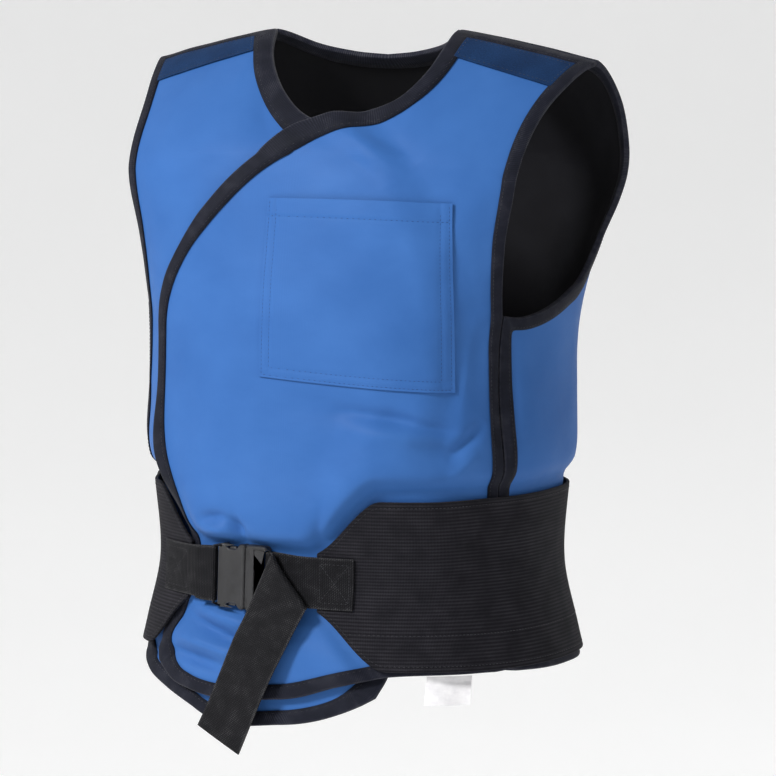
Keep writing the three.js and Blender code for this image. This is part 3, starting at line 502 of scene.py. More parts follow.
def shoulder_line(from_x, to_x, pattern):
    marks = np.interp([0, 0.33, 0.67, 1], [0, 1], [from_x, to_x])
    return smooth_line([shoulder_mark(x, pattern) for x in marks])


print("marks on the outer front's free edge:", len(OUTER_EDGE))

# %% [markdown]
# Each outline is four lines: hem, shoulder and two sides. A front's one side is its free edge and its
# other side is the seam below the armpit and the armhole above it. The back is drawn for one half and
# mirrored.

# %% The outline of a front panel and of the back
def front_outline(side, edge, chest_mark, hem):
    """Four lines round a front panel; side is 1 on the vest's left and -1 on the right."""
    seam = [on_pattern(side * turn, z) for turn, z in SIDE_SEAM]
    armhole = [seam[-1], *(front_pattern(side * x, z) for x, z in FRONT_ARMHOLE)]
    armhole.append(shoulder_mark(side * SHOULDER_HALF_WIDTH, front_pattern))
    seam_line = joined(smooth_line(seam), smooth_line(armhole), FRONT_SIDE_SHARE)
    neck = shoulder_mark(side * NECK_HALF_WIDTH, front_pattern)
    free = smooth_line([*(front_pattern(x, z) for x, z in edge), neck])
    chest = free.share_of(chest_mark)
    free_line = joined(lambda s: free(s * chest), lambda s: free(chest + s * (1 - chest)), FRONT_SIDE_SHARE)
    left, right = (free_line, seam_line) if side > 0 else (seam_line, free_line)
    ends = (NECK_HALF_WIDTH, SHOULDER_HALF_WIDTH) if side > 0 else (-SHOULDER_HALF_WIDTH, -NECK_HALF_WIDTH)
    bottom = smooth_line([left(0.0), *(front_pattern(x, z) for x, z in hem), right(0.0)])
    return bottom, shoulder_line(*ends, front_pattern), left, right


def back_outline():
    whole = 2 * math.pi * GIRTH_RADIUS

    def mirrored(places):
        return np.stack([whole - places[..., 0], places[..., 1]], -1)

    seam = [on_pattern(turn + SIDE_SEAM_GAP, z) for turn, z in SIDE_SEAM]
    armhole = [seam[-1], *(on_pattern(turn, z) for turn, z in BACK_ARMHOLE)]
    armhole.append(shoulder_mark(SHOULDER_HALF_WIDTH, back_pattern))
    left = joined(smooth_line(seam), smooth_line(armhole), BACK_SIDE_SHARE)
    neck_start = shoulder_mark(NECK_HALF_WIDTH, back_pattern)
    neck = smooth_line([neck_start, *(back_pattern(x, z) for x, z in BACK_NECK)])
    shoulder = shoulder_line(SHOULDER_HALF_WIDTH, NECK_HALF_WIDTH, back_pattern)
    half_top = joined(shoulder, neck, BACK_SHOULDER_SHARE)

    def top(part):
        half = 1 - np.abs(2 * np.asarray(part) - 1)
        places = half_top(half)
        return np.where((np.asarray(part) > 0.5)[..., None], mirrored(places), places)

    hem = smooth_line([seam[0], *(on_pattern(turn, z) for turn, z in BACK_HEM), mirrored(seam[0])])
    return hem, top, left, lambda part: mirrored(left(part))


outer_outline = front_outline(1, OUTER_EDGE, CHEST_MARK, OUTER_HEM)
under_outline = front_outline(-1, [(x, z) for z, x in UNDER_EDGE], UNDER_CHEST_MARK, UNDER_HEM)
print("outer front's hem corners:", np.round(outer_outline[0](0.0)), np.round(outer_outline[0](1.0)))

# %% [markdown]
# ## Cutting a panel
# A grid is the simplest cloth: rows and columns of small squares. It is stretched between the four lines
# of the outline. Its places along a line are spread evenly, but the first and the last lie a tape's width
# from the corner.

# %% Share out a line
BINDING_WIDTH = 11
FINE_STEPS = 2000  # for measuring a line


def share_out(line, count, corners=()):
    """Places along a line: an even spread, with a tape's width at each end and a place on every corner."""
    fine = np.linspace(0, 1, FINE_STEPS + 1)
    run = run_along(line(fine))
    first, last = np.interp([BINDING_WIDTH, run[-1] - BINDING_WIDTH], run, fine)
    stops = [first, *corners, last]
    at = [1, *(round(corner * count) for corner in corners), count - 1]
    parts = [0, *np.interp(np.arange(1, count), at, stops), 1]
    return line(np.array(parts))


print("an even spread:", share_out(smooth_line([(0, 0), (50, 0), (100, 0)]), 5)[:, 0])

# %% [markdown]
# The outermost ring of squares is made exactly as wide as the tape that will cover it. So the tape can be
# cut from the same grid later, and its lip lies on an edge of the squares.

# %% Stretch a grid between four lines
LIP_PASSES = 10


def between_lines(bottom, top, left, right):
    """Places for a grid's corners, blended from the places along its four sides."""
    across = np.linspace(0, 1, len(bottom))[None, :, None]
    up = np.linspace(0, 1, len(left))[:, None, None]
    sides = bottom[None] * (1 - up) + top[None] * up + left[:, None] * (1 - across) + right[:, None] * across
    low = bottom[0] * (1 - across) + bottom[-1] * across
    high = top[0] * (1 - across) + top[-1] * across
    return sides - low * (1 - up) - high * up


def beside(line, inner):
    """Places a tape's width inside a line of places, square to it."""
    along = np.gradient(line, axis=0)
    square = unit(np.stack([-along[:, 1], along[:, 0]], -1))
    return line + BINDING_WIDTH * np.sign(np.sum(square * (inner - line))) * square


def once_round(columns, rows):
    """Row and column numbers of the places once round a grid, one square in."""
    level, steep = np.arange(1, columns), np.arange(2, rows - 1)
    across = np.concatenate([level, 0 * steep + columns - 1, level[::-1], 0 * steep + 1])
    up = np.concatenate([0 * level + 1, steep, 0 * level + rows - 1, steep[::-1]])
    return up, across


def mark_tape_ring(places):
    """Moves the second ring of places to where the tape's lip will lie, and spreads the rest between."""
    rings = [(places[0], places[2]), (places[-1], places[-3])]
    rings += [(places[:, 0], places[:, 2]), (places[:, -1], places[:, -3])]
    low, high, left, right = (beside(line, inner)[1:-1] for line, inner in rings)
    for level, j in ((low, 0), (high, -1)):
        for steep, i in ((left, 0), (right, -1)):
            level[i] = steep[j] = (level[i] + steep[j]) / 2
    inside = places[1:-1, 1:-1]
    inside[0], inside[-1], inside[:, 0], inside[:, -1] = low, high, left, right
    ring = once_round(places.shape[1] - 1, places.shape[0] - 1)
    for _ in range(LIP_PASSES):
        lip = places[ring]
        places[ring] = (np.roll(lip, 1, 0) + 2 * lip + np.roll(lip, -1, 0)) / 4
    inside[:] = between_lines(inside[0].copy(), inside[-1].copy(), inside[:, 0].copy(), inside[:, -1].copy())


print("places once round a grid of four by three:", len(once_round(4, 3)[0]))

# %% [markdown]
# Smoothing evens out the squares inside the ring. All of this happens flat, on paper, where it is easy to
# see whether a square has turned over. A turned square would show as a spike once the cloth has thickness,
# so they are counted.

# %% Cut the three panels
EVENING_PASSES = 40


def cut_panel(outline, columns, rows, top_corners, side_corners):
    """A flat panel in millimetres, whose outermost ring of squares is selected for the tape."""
    bottom, top, left, right = outline
    places = between_lines(share_out(bottom, columns), share_out(top, columns, top_corners),
                           share_out(left, rows, side_corners), share_out(right, rows, side_corners))
    mark_tape_ring(places)
    cloth = bmesh.new()
    bmesh.ops.create_grid(cloth, x_segments=columns, y_segments=rows, size=1)
    loose = []
    for corner in cloth.verts:
        i, j = round((corner.co.x + 1) / 2 * columns), round((corner.co.y + 1) / 2 * rows)
        corner.co = (*places[j, i], 0)
        if 1 < i < columns - 1 and 1 < j < rows - 1:
            loose.append(corner)
    for _ in range(EVENING_PASSES):
        bmesh.ops.smooth_vert(cloth, verts=loose, factor=0.5, use_axis_x=True, use_axis_y=True,
                              use_axis_z=True)
    for face in cloth.faces:
        face.select = any(corner.is_boundary for corner in face.verts)
        face.normal_update()
    turned = sum(face.normal.z <= 0 for face in cloth.faces)
    print(len(cloth.faces), "squares, of which", turned, "have turned over")
    return cloth


OUTER_SQUARES, UNDER_SQUARES, BACK_SQUARES = (64, 112), (56, 112), (90, 100)
outer_cloth = cut_panel(outer_outline, *OUTER_SQUARES, [], [FRONT_SIDE_SHARE])
under_cloth = cut_panel(under_outline, *UNDER_SQUARES, [], [FRONT_SIDE_SHARE])
back_neck_ends = [BACK_SHOULDER_SHARE / 2, 1 - BACK_SHOULDER_SHARE / 2]
back_cloth = cut_panel(back_outline(), *BACK_SQUARES, back_neck_ends, [BACK_SIDE_SHARE])

# %% [markdown]
# ## Finishes
# Every finish is made of nodes, so it has detail at any distance. A first group of helpers starts a
# material and draws patterns on its map: ridges for threads and ribs, and clouds for everything that is
# uneven.

# %% Helpers for finishes
def start_finish(name, roughness, sheen=0.0, specular=0.35):
    material = bpy.data.materials.new(name)
    material.use_nodes = True
    tree = material.node_tree
    shader = tree.nodes["Principled BSDF"]
    shader.inputs["Roughness"].default_value = roughness
    shader.inputs["Specular IOR Level"].default_value = specular
    shader.inputs["Sheen Weight"].default_value = sheen
    shader.inputs["Sheen Roughness"].default_value = 0.45
    return material, tree, shader


def surface_map(tree, kind="UV"):
    return tree.nodes.new("ShaderNodeTexCoord").outputs[kind]


def ridges(tree, where, pitch, direction, waver=0.0):
    """Ridges across the map, one every pitch millimetres."""
    wave = tree.nodes.new("ShaderNodeTexWave")
    wave.bands_direction = direction
    wave.inputs["Scale"].default_value = math.pi / 10 / (pitch * MM)
    wave.inputs["Distortion"].default_value = waver
    wave.inputs["Detail"].default_value = 1.0
    wave.inputs["Detail Scale"].default_value = 0.4
    tree.links.new(where, wave.inputs["Vector"])
    return wave.outputs["Fac"]


def clouds(tree, where, size, detail=3.0, roughness=0.55):
    """A soft random pattern with patches about size millimetres wide."""
    texture = tree.nodes.new("ShaderNodeTexNoise")
    texture.inputs["Scale"].default_value = 1 / (size * MM)
    texture.inputs["Detail"].default_value = detail
    texture.inputs["Roughness"].default_value = roughness
    tree.links.new(where, texture.inputs["Vector"])
    return texture.outputs["Fac"]


print("pattern helpers ready")

# %% [markdown]
# A pattern does nothing until it drives something. A second group of helpers lets it wander between two
# colours, stand out as relief, or change the gloss. Worn edges get a tone of their own: tape and webbing
# turn pale and a little furry where they rub, so one helper finds the edge on the map and breaks it up.

# %% Helpers that put a pattern to use
def combine(tree, operation, first, second):
    node = tree.nodes.new("ShaderNodeMath")
    node.operation = operation
    for socket, value in zip(node.inputs, (first, second)):
        if isinstance(value, (int, float)):
            socket.default_value = value
        else:
            tree.links.new(value, socket)
    return node.outputs[0]


def tint(tree, shader, amount, dark, light, low=0.3, high=0.7, worn=None):
    """Colour that wanders between a dark and a light tone, and goes to the worn tone beyond them."""
    ramp = tree.nodes.new("ShaderNodeValToRGB")
    stops = ramp.color_ramp.elements
    stops[0].position, stops[1].position = low, high
    stops[0].color, stops[1].color = (*dark, 1), (*light, 1)
    if worn is not None:
        stops.new(1.0).color = (*worn, 1)
    tree.links.new(amount, ramp.inputs["Fac"])
    tree.links.new(ramp.outputs["Color"], shader.inputs["Base Color"])


def worn_edge(tree, where, inside, edge):
    """1 at an edge across the map and 0 inside it, both in millimetres from the map's middle line."""
    split = tree.nodes.new("ShaderNodeSeparateXYZ")
    tree.links.new(where, split.inputs["Vector"])
    spread = tree.nodes.new("ShaderNodeMapRange")
    spread.inputs["From Min"].default_value, spread.inputs["From Max"].default_value = inside * MM, edge * MM
    tree.links.new(combine(tree, "ABSOLUTE", split.outputs["Y"], 0.0), spread.inputs["Value"])
    return combine(tree, "MULTIPLY", spread.outputs["Result"], clouds(tree, where, 5, 5, 0.7))


def emboss(tree, shader, height, depth, strength, onto=None):
    """Makes a pattern stand out by depth millimetres."""
    bump = tree.nodes.new("ShaderNodeBump")
    bump.inputs["Distance"].default_value = depth * MM
    bump.inputs["Strength"].default_value = strength
    tree.links.new(height, bump.inputs["Height"])
    if onto is not None:
        tree.links.new(onto, bump.inputs["Normal"])
    tree.links.new(bump.outputs["Normal"], shader.inputs["Normal"])
    return bump.outputs["Normal"]


def vary_roughness(tree, shader, amount, low, high):
    spread = tree.nodes.new("ShaderNodeMapRange")
    spread.inputs["To Min"].default_value, spread.inputs["To Max"].default_value = low, high
    tree.links.new(amount, spread.inputs["Value"])
    tree.links.new(spread.outputs["Result"], shader.inputs["Roughness"])


print("finish helpers ready")

# %% [markdown]
# The cover is a coated blue nylon in plain weave: threads over and under each other, a soft satin sheen,
# and small crumples that catch the light. The lining is the same kind of cloth in black. The tape and the
# webbing show the ribs of a narrow loom. Ridges on the map are enough for threads that are too fine to
# model.

# %% Woven finishes
def plain_weave(name, dark, light, roughness, sheen, specular, pitch, crumple):
    material, tree, shader = start_finish(name, roughness, sheen, specular)
    cloth = surface_map(tree)
    warp, weft = (ridges(tree, cloth, pitch, way, 0.6) for way in "XY")
    threads = combine(tree, "MULTIPLY", warp, weft)
    tone = combine(tree, "ADD", combine(tree, "MULTIPLY", threads, 0.16), clouds(tree, cloth, 70, 4))
    tint(tree, shader, tone, dark, light, 0.25, 0.95)
    vary_roughness(tree, shader, clouds(tree, cloth, 26), roughness - 0.08, roughness + 0.1)
    soft = emboss(tree, shader, clouds(tree, cloth, 19, 2), crumple, 0.5)
    emboss(tree, shader, threads, 0.12, 0.35, onto=soft)
    return material


def ribbed_tape(name, dark, light, worn, edge, roughness, pitch, depth, chevron=False):
    """A narrow woven tape, with u along it and v across it; edge is where its wear begins and ends."""
    material, tree, shader = start_finish(name, roughness, 0.03, 0.09)
    tape = surface_map(tree)
    ribs = ridges(tree, tape, pitch, "X", 0.5)
    threads = ridges(tree, tape, pitch * 0.75, "DIAGONAL" if chevron else "Y", 0.4)
    weave = combine(tree, "ADD", ribs, combine(tree, "MULTIPLY", threads, 0.7))
    tone = combine(tree, "MULTIPLY", weave, clouds(tree, tape, 12))
    tint(tree, shader, combine(tree, "ADD", tone, worn_edge(tree, tape, *edge)), dark, light, 0.2, 0.85, worn)
    vary_roughness(tree, shader, clouds(tree, tape, 9), roughness - 0.1, roughness + 0.1)
    emboss(tree, shader, weave, depth, 0.6)
    return material


cover_blue = plain_weave("cover_blue", (0.024, 0.09, 0.28), (0.04, 0.128, 0.362), roughness=0.56,
                         sheen=0.02, specular=0.1, pitch=0.9, crumple=0.8)
lining_black = plain_weave("lining_black", (0.003, 0.003, 0.004), (0.01, 0.01, 0.013), roughness=0.66,
                           sheen=0.02, specular=0.1, pitch=0.8, crumple=0.5)
binding_tape = ribbed_tape("binding_tape", (0.004, 0.005, 0.009), (0.014, 0.015, 0.026),
                           (0.045, 0.046, 0.055), edge=(1.6, 0), roughness=0.66, pitch=1.1, depth=0.18)
webbing_black = ribbed_tape("webbing_black", (0.002, 0.002, 0.003), (0.012, 0.012, 0.014),
                            (0.04, 0.04, 0.042), edge=(22.5, 25), roughness=0.62, pitch=1.7, depth=0.35,
                            chevron=True)
print("woven finishes:", cover_blue.name, lining_black.name, binding_tape.name, webbing_black.name)

# %% [markdown]
# Three more soft finishes are needed. The yoke's nap scatters light in all directions, so it is rough and
# grainy. The belt is elastic, with cords along it and fine gathers across. Sewing thread is twisted and a
# little shiny.

# %% Nap, elastic and thread
def napped_cloth(name, dark, light):
    material, tree, shader = start_finish(name, 0.88, 0.02, 0.07)
    cloth = surface_map(tree)
    nap = clouds(tree, cloth, 1.1, 4, 0.7)
    rubbed = combine(tree, "ADD", clouds(tree, cloth, 30), 0.45)
    tint(tree, shader, combine(tree, "MULTIPLY", nap, rubbed), dark, light, 0.2, 0.75)
    emboss(tree, shader, nap, 0.35, 0.7)
    return material


def ribbed_elastic(name, dark, light):
    """A wide elastic: cords along the belt, and the fine cross ribs of its gathered cover."""
    material, tree, shader = start_finish(name, 0.8, 0.03, 0.08)
    band = surface_map(tree)
    cords = ridges(tree, band, 3.2, "Y", 0.2)
    gathers = ridges(tree, band, 1.3, "X", 1.4)
    weave = combine(tree, "ADD", cords, combine(tree, "MULTIPLY", gathers, 0.6))
    tint(tree, shader, combine(tree, "MULTIPLY", weave, clouds(tree, band, 22)), dark, light, 0.15, 0.95)
    emboss(tree, shader, weave, 0.45, 0.55)
    return material


def thread(name, dark, light):
    material, tree, shader = start_finish(name, 0.5, 0.08, 0.2)
    strand = surface_map(tree, "Object")
    tint(tree, shader, clouds(tree, strand, 6), dark, light)
    emboss(tree, shader, clouds(tree, strand, 0.5), 0.05, 0.4)
    return material


yoke_navy = napped_cloth("yoke_navy", (0.003, 0.010, 0.034), (0.010, 0.038, 0.11))
belt_elastic = ribbed_elastic("belt_elastic", (0.005, 0.005, 0.007), (0.022, 0.021, 0.026))
blue_thread = thread("blue_thread", (0.006, 0.025, 0.1), (0.012, 0.045, 0.16))
black_thread = thread("black_thread", (0.008, 0.008, 0.011), (0.03, 0.03, 0.036))
print("soft finishes:", yoke_navy.name, belt_elastic.name, blue_thread.name, black_thread.name)

# %% [markdown]
# The last two finishes are smoother. A buckle comes out of its mould with a fine grain and is polished in
# patches by use, so its gloss varies. The label is a white satin ribbon with fine threads and nothing
# printed on it.

# %% Plastic and satin
def moulded_plastic(name, dark, light):
    material, tree, shader = start_finish(name, 0.38, 0.0, 0.5)
    body = surface_map(tree, "Object")
    grain = clouds(tree, body, 0.7, 2)
    tint(tree, shader, clouds(tree, body, 9), dark, light)
    vary_roughness(tree, shader, clouds(tree, body, 5), 0.3, 0.48)
    emboss(tree, shader, grain, 0.06, 0.5)
    return material


def satin_label(name):
    material, tree, shader = start_finish(name, 0.42, 0.2)
    cloth = surface_map(tree)
    threads = combine(tree, "ADD", ridges(tree, cloth, 0.5, "X", 0.3), ridges(tree, cloth, 1.4, "Y", 0.3))
    tint(tree, shader, clouds(tree, cloth, 8), (0.72, 0.71, 0.73), (0.86, 0.85, 0.86))
    emboss(tree, shader, threads, 0.06, 0.5)
    return material


buckle_plastic = moulded_plastic("buckle_plastic", (0.006, 0.006, 0.007), (0.014, 0.014, 0.016))
label_white = satin_label("label_white")
print("materials made:", len(bpy.data.materials))

# %% [markdown]
# ## The three panels
# A cut panel is put on the form by moving each corner from its paper place to its worn place. A cloth
# simulation could do this too, but the stiff lead sheet hardly drapes, and moved corners keep the tape and
# the pocket exactly on the cloth. The flat places are kept as the UV map, so the weave follows the cloth.

# %% Put a panel on
def keep_paper_map(cloth):
    """The flat places become the UV map, in metres, before the cloth is bent."""
    paper = cloth.loops.layers.uv.new("paper")
    for face in cloth.faces:
        for loop in face.loops:
            loop[paper].uv = (loop.vert.co.x * MM, loop.vert.co.y * MM)


def move_corners(cloth, places):
    for corner, place in zip(cloth.verts, places):
        corner.co = place


def put_on(cloth, lift_at):
    """From the table to the form: x and y are the paper's, and z is the height over the panel's middle."""
    spots = np.array([corner.co for corner in cloth.verts])
    turn, z = from_pattern(spots[:, :2])
    move_corners(cloth, worn_place(turn, z, lift_at(turn, z) + spots[:, 2]) * MM)


print("a corner at the waist goes to", np.round(worn_place(0.0, -480.0, 0.0), 1))

# %% [markdown]
# Every finished mesh becomes a piece in the same way: it gets its finishes, rides on the vest's body and
# stands in for a imported solid. Solidify then gives it thickness, and a worn sheet is measured, because its
# flat size is printed with the cloth pieces at the end.

# %% From mesh to piece
def as_piece(name, mesh_source, finishes, replaces=()):
    """A bmesh becomes a smooth piece of the vest that rides on its body."""
    mesh = bpy.data.meshes.new(name)
    mesh_source.to_mesh(mesh)
    mesh_source.free()
    mesh.shade_smooth()
    for finish in finishes:
        mesh.materials.append(finish)
    piece = bpy.data.objects.new(name, mesh)
    bpy.context.scene.collection.objects.link(piece)
    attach(piece, "root")
    if replaces:
        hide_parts(*replaces)
    return piece


def thicken(piece, thickness, offset=-1.0, lining=0):
    wall = piece.modifiers.new("thickness", "SOLIDIFY")
    wall.thickness = thickness * MM
    wall.offset = offset
    wall.use_even_offset = False
    wall.material_offset = lining


def measured(cloth, columns, rows):
    """Longest row, longest column and area of a worn panel, in metres."""
    area = sum(face.calc_area() for face in cloth.faces)
    spots = np.array([corner.co for corner in cloth.verts]).reshape(rows + 1, columns + 1, 3)
    width = np.linalg.norm(np.diff(spots, axis=1), axis=-1).sum(1).max()
    length = np.linalg.norm(np.diff(spots, axis=0), axis=-1).sum(0).max()
    return float(width), float(length), area


print("a sheet is measured along its rows and columns")

# %% [markdown]
# A panel is three millimetres of cover, lead sheet and lining. The mesh is the outer face, Solidify adds
# the wall on the inside, and the inner face takes the lining's black. One cut through every square makes
# the creases crisp.

# %% The outer front, the under front and the back
WALL, CLEARANCE, BINDING_CLOTH = 3, 0.4, 1.1


def make_panel(name, cut, squares, lift_at, node):
    fitted = cut.copy()
    put_on(fitted, lift_at)
    size = measured(fitted, *squares)
    fitted.free()
    cloth = cut.copy()
    bmesh.ops.subdivide_edges(cloth, edges=cloth.edges[:], cuts=1, use_grid_fill=True)
    keep_paper_map(cloth)
    bmesh.ops.translate(cloth, verts=cloth.verts[:], vec=(0, 0, WALL / 2))
    put_on(cloth, lift_at)
    piece = as_piece(name, cloth, [cover_blue, lining_black], [node])
    thicken(piece, WALL, lining=1)
    print(name, "is cut from", [round(s, 3) for s in size[:2]], "m, area", round(size[2], 3), "m2")
    return piece, size


outer_front, outer_size = make_panel("outer_front", outer_cloth, OUTER_SQUARES, wrap_lift, "left_front_panel")
under_front, under_size = make_panel("under_front", under_cloth, UNDER_SQUARES, no_lift, "right_front_panel")
back, back_size = make_panel("back", back_cloth, BACK_SQUARES, no_lift, "back_panel")

# %% [markdown]
# ## The binding tape
# Tape folded over the raw edge keeps the panel's layers together. A curve swept along the edge could make
# it, but the panel's own outermost squares already have the right width and follow every corner. Two
# helpers walk round the edge of a flat panel and find the tape's lip beside each corner.

# %% Walk round a panel's edge
def walk_round(strip):
    """The corners of a flat panel's outer edge, in order."""
    rim = [edge for edge in strip.edges if edge.is_boundary]
    near = {}
    for edge in rim:
        for corner in edge.verts:
            near.setdefault(corner, []).append(edge.other_vert(corner))
    start = min(near, key=lambda corner: corner.co.x + corner.co.y)
    ring, before = [start], None
    while True:
        step = [corner for corner in near[ring[-1]] if corner is not before][0]
        before = ring[-1]
        if step is start:
            return ring
        ring.append(step)


def lip_beside(corner):
    """The lip's corner beside a corner of the edge; at a panel's own corner it lies across the square."""
    near = [edge.other_vert(corner) for edge in corner.link_edges]
    inner = [other for other in near if not any(edge.is_boundary for edge in other.link_edges)]
    if inner:
        return inner[0]
    square = corner.link_faces[0]
    return [other for other in square.verts if other is not corner and other not in near][0]


print("corners round the outer front:", len(walk_round(outer_cloth)))

# %% [markdown]
# The ring of squares is cut out, and its outer edge is pushed past the panel's, so that the tape can close
# round it. Its UV map runs along and across the tape, so that the ribs of the weave follow the edge.

# %% The tape's flat strip
BINDING_REACH = WALL / 2 + CLEARANCE + BINDING_CLOTH  # from a panel's middle to the tape's face
NOSE = CLEARANCE + BINDING_CLOTH


def tape_strip(cut):
    """The strip along a panel's edge, flat, with its nose pushed out and the tape's own map."""
    strip = cut.copy()
    is_lip = strip.verts.layers.int.new("lip")
    tape = strip.loops.layers.uv.new("tape")
    ring = walk_round(strip)
    lips = [lip_beside(corner) for corner in ring]
    panel_only = [face for face in strip.faces if not face.select]
    bmesh.ops.delete(strip, geom=panel_only, context="FACES")
    steps = [(b.co - a.co).length for a, b in zip(ring, ring[1:] + ring[:1])]
    along = np.concatenate([[0], np.cumsum(steps)])
    place = {}
    for spot, (corner, lip) in enumerate(zip(ring, lips)):
        place[corner] = (spot, 0.0)
        place.setdefault(lip, (spot, BINDING_WIDTH))
        lip[is_lip] = 1
    for face in strip.faces:
        spots = [place[loop.vert][0] for loop in face.loops]
        wraps = max(spots) - min(spots) > len(ring) / 2
        for loop, spot in zip(face.loops, spots):
            reached = along[spot] + (along[-1] if wraps and spot < len(ring) / 2 else 0)
            loop[tape].uv = (reached * MM, place[loop.vert][1] * MM)
    pushes = [(corner.co - lip.co) * (NOSE / BINDING_WIDTH) for corner, lip in zip(ring, lips)]
    for corner, push in zip(ring, pushes):
        corner.co += push
    return strip


print("the tape's nose stands out", NOSE, "mm")

# %% [markdown]
# The tape's section is a flat U with a rounded nose. The strip is thickened to a closed ring, the wall at
# the lip is opened, the nose's two edges are bevelled round, and a second thickening turns the open U into
# cloth.

# %% Fold the tape over the edge
NOSE_RADIUS = 2


def make_binding(name, cut, lift_at, node):
    tape = tape_strip(cut)
    bmesh.ops.solidify(tape, geom=tape.faces[:], thickness=2 * BINDING_REACH)
    heights = [corner.co.z for corner in tape.verts]
    bmesh.ops.translate(tape, verts=tape.verts[:], vec=(0, 0, -(min(heights) + max(heights)) / 2))
    bmesh.ops.recalc_face_normals(tape, faces=tape.faces[:])
    lips = tape.verts.layers.int["lip"]
    mouth = [face for face in tape.faces if all(corner[lips] for corner in face.verts)]
    bmesh.ops.delete(tape, geom=mouth, context="FACES_ONLY")
    nose = {face for face in tape.faces if not any(corner[lips] for corner in face.verts)}
    sides = {edge for face in nose for edge in face.edges}
    rims = {edge for edge in sides if any(face not in nose for face in edge.link_faces)}
    bmesh.ops.bevel(tape, geom=list(rims), offset=NOSE_RADIUS, offset_type="OFFSET", segments=3, profile=0.5,
                    affect="EDGES", material=-1, clamp_overlap=True)
    bmesh.ops.solidify(tape, geom=tape.faces[:], thickness=BINDING_CLOTH)
    bmesh.ops.subdivide_edges(tape, edges=tape.edges[:], cuts=1, use_grid_fill=True)
    put_on(tape, lift_at)
    piece = as_piece(name, tape, [binding_tape], [node])
    print(name, "has", len(piece.data.polygons), "faces,", len(mouth), "opened at the lip")
    return piece


outer_binding = make_binding("outer_front_binding", outer_cloth, wrap_lift, "left_front_binding")
under_binding = make_binding("under_front_binding", under_cloth, no_lift, "right_front_binding")
back_binding = make_binding("back_binding_tape", back_cloth, no_lift, "back_binding")

# %% [markdown]
# ## Stitches
# Every tape, patch and band is sewn on, and rows of stitches are what a close look finds first. A stitch
# is a short bead of thread that sinks half into the cloth. A row is drawn on the flat cloth, measured out
# in stitch lengths, and each bead is turned to the way the row runs on the worn cloth, so the rows follow
# every fold.

# %% Sew a row of stitches
STITCH, STITCH_GAP, STITCH_THICK = 2.6, 1.0, 0.55
STITCH_FACES = 20  # of the small bead that is one stitch


def sew(seam, line, surface, facing=1):
    """Adds beads along a flat line; surface lays them on the cloth, and facing -1 is the lining's side."""
    line = np.asarray(line, float)
    run = run_along(line)
    count = max(1, round(run[-1] / (STITCH + STITCH_GAP)))
    reach = (np.arange(count) + 0.5) * run[-1] / count

    def along_line(step):
        return np.stack([np.interp(reach + step, run, line[:, k]) for k in (0, 1)], -1)

    ahead, middle, behind = along_line(1), along_line(0), along_line(-1)
    across = unit(ahead - behind) @ np.array([[0, 1], [-1, 0]])
    spot = surface(middle)
    along = unit(surface(ahead) - surface(behind))
    side = unit(surface(middle + across) - surface(middle - across))
    out = facing * unit(np.cross(along, side))
    for place, *axes in zip(spot, along * STITCH / 2, side * STITCH_THICK / 2, out * STITCH_THICK / 2):
        turned = Matrix.Identity(4)
        turned.translation = place * MM
        for k, axis in enumerate(axes):
            turned.col[k].xyz = axis * MM
        bmesh.ops.create_icosphere(seam, subdivisions=1, radius=1, matrix=turned)
    return count


def finish_seam(name, seam, finish):
    bmesh.ops.recalc_face_normals(seam, faces=seam.faces[:])
    return as_piece(name, seam, [finish])


def stitch_count(rows):
    return len(rows.data.polygons) // STITCH_FACES


def over_panel(lift_at, height):
    """The surface a height over a panel's middle, for rows drawn on the paper."""
    def surface(flat):
        turn, z = from_pattern(flat)
        return worn_place(turn, z, lift_at(turn, z) + height)

    return surface


print("a stitch is", STITCH, "mm long")

# %% [markdown]
# One row along the lip holds the tape on both faces of the panel. The walk round the edge gives the line
# again, and it is moved a little from the lip into the tape.

# %% Stitches along the binding
ROW_FROM_LIP = 0.22  # as a share of the tape's width


def binding_row(cut):
    """A closed line on the paper, a little inside the tape's lip."""
    ring = walk_round(cut)
    line = [lip_beside(corner).co.lerp(corner.co, ROW_FROM_LIP)[:2] for corner in ring]
    return np.array(line + line[:1])


panel_cuts = [("outer_front", outer_cloth, wrap_lift), ("under_front", under_cloth, no_lift),
              ("back", back_cloth, no_lift)]
for name, cut, lift_at in panel_cuts:
    seam = bmesh.new()
    row = binding_row(cut)
    count = sum(sew(seam, row, over_panel(lift_at, face * BINDING_REACH), face) for face in (1, -1))
    finish_seam(name + "_binding_stitches", seam, black_thread)
    print(name, "has", count, "binding stitches")

# %% [markdown]
# ## Yokes and pocket
# Yokes and pocket are patches sewn on a panel. A patch is a small grid, shaped on the paper and put on
# over its panel. Solidify gives it the thickness of its cloth, and a fine bevel rounds the folded edges.

# %% Cut a patch
ON_PANEL = WALL / 2 + CLEARANCE  # a patch's inner face over a panel's middle
SHARP_TURN = 50  # degrees between two faces whose edge is rounded
PATCH_RIM = 0.4  # the radius of a patch's edge


def cut_patch(columns, rows, place_at):
    """A grid moved to where place_at puts its shares across and up: paper x, paper y and a height."""
    patch = bmesh.new()
    bmesh.ops.create_grid(patch, x_segments=columns, y_segments=rows, size=1)
    share = np.array([corner.co for corner in patch.verts])[:, :2] / 2 + 0.5
    move_corners(patch, np.column_stack(place_at(share[:, 0], share[:, 1])))
    return patch


def soften_rim(piece, width):
    rim = piece.modifiers.new("soft_rim", "BEVEL")
    rim.width = width * MM
    rim.segments = 2
    rim.limit_method = "ANGLE"
    rim.angle_limit = math.radians(SHARP_TURN)
    rim.harden_normals = True


print("a patch lies", ON_PANEL, "mm over its panel's middle")

# %% [markdown]
# The navy yokes take the rubbing on the shoulders. Each fills the top of a front from the neck's tape to
# the armhole's, and its lower edge is a gentle curve. One function draws both, with the side as a sign.
# The two necklines differ, so each side has its own inner end.

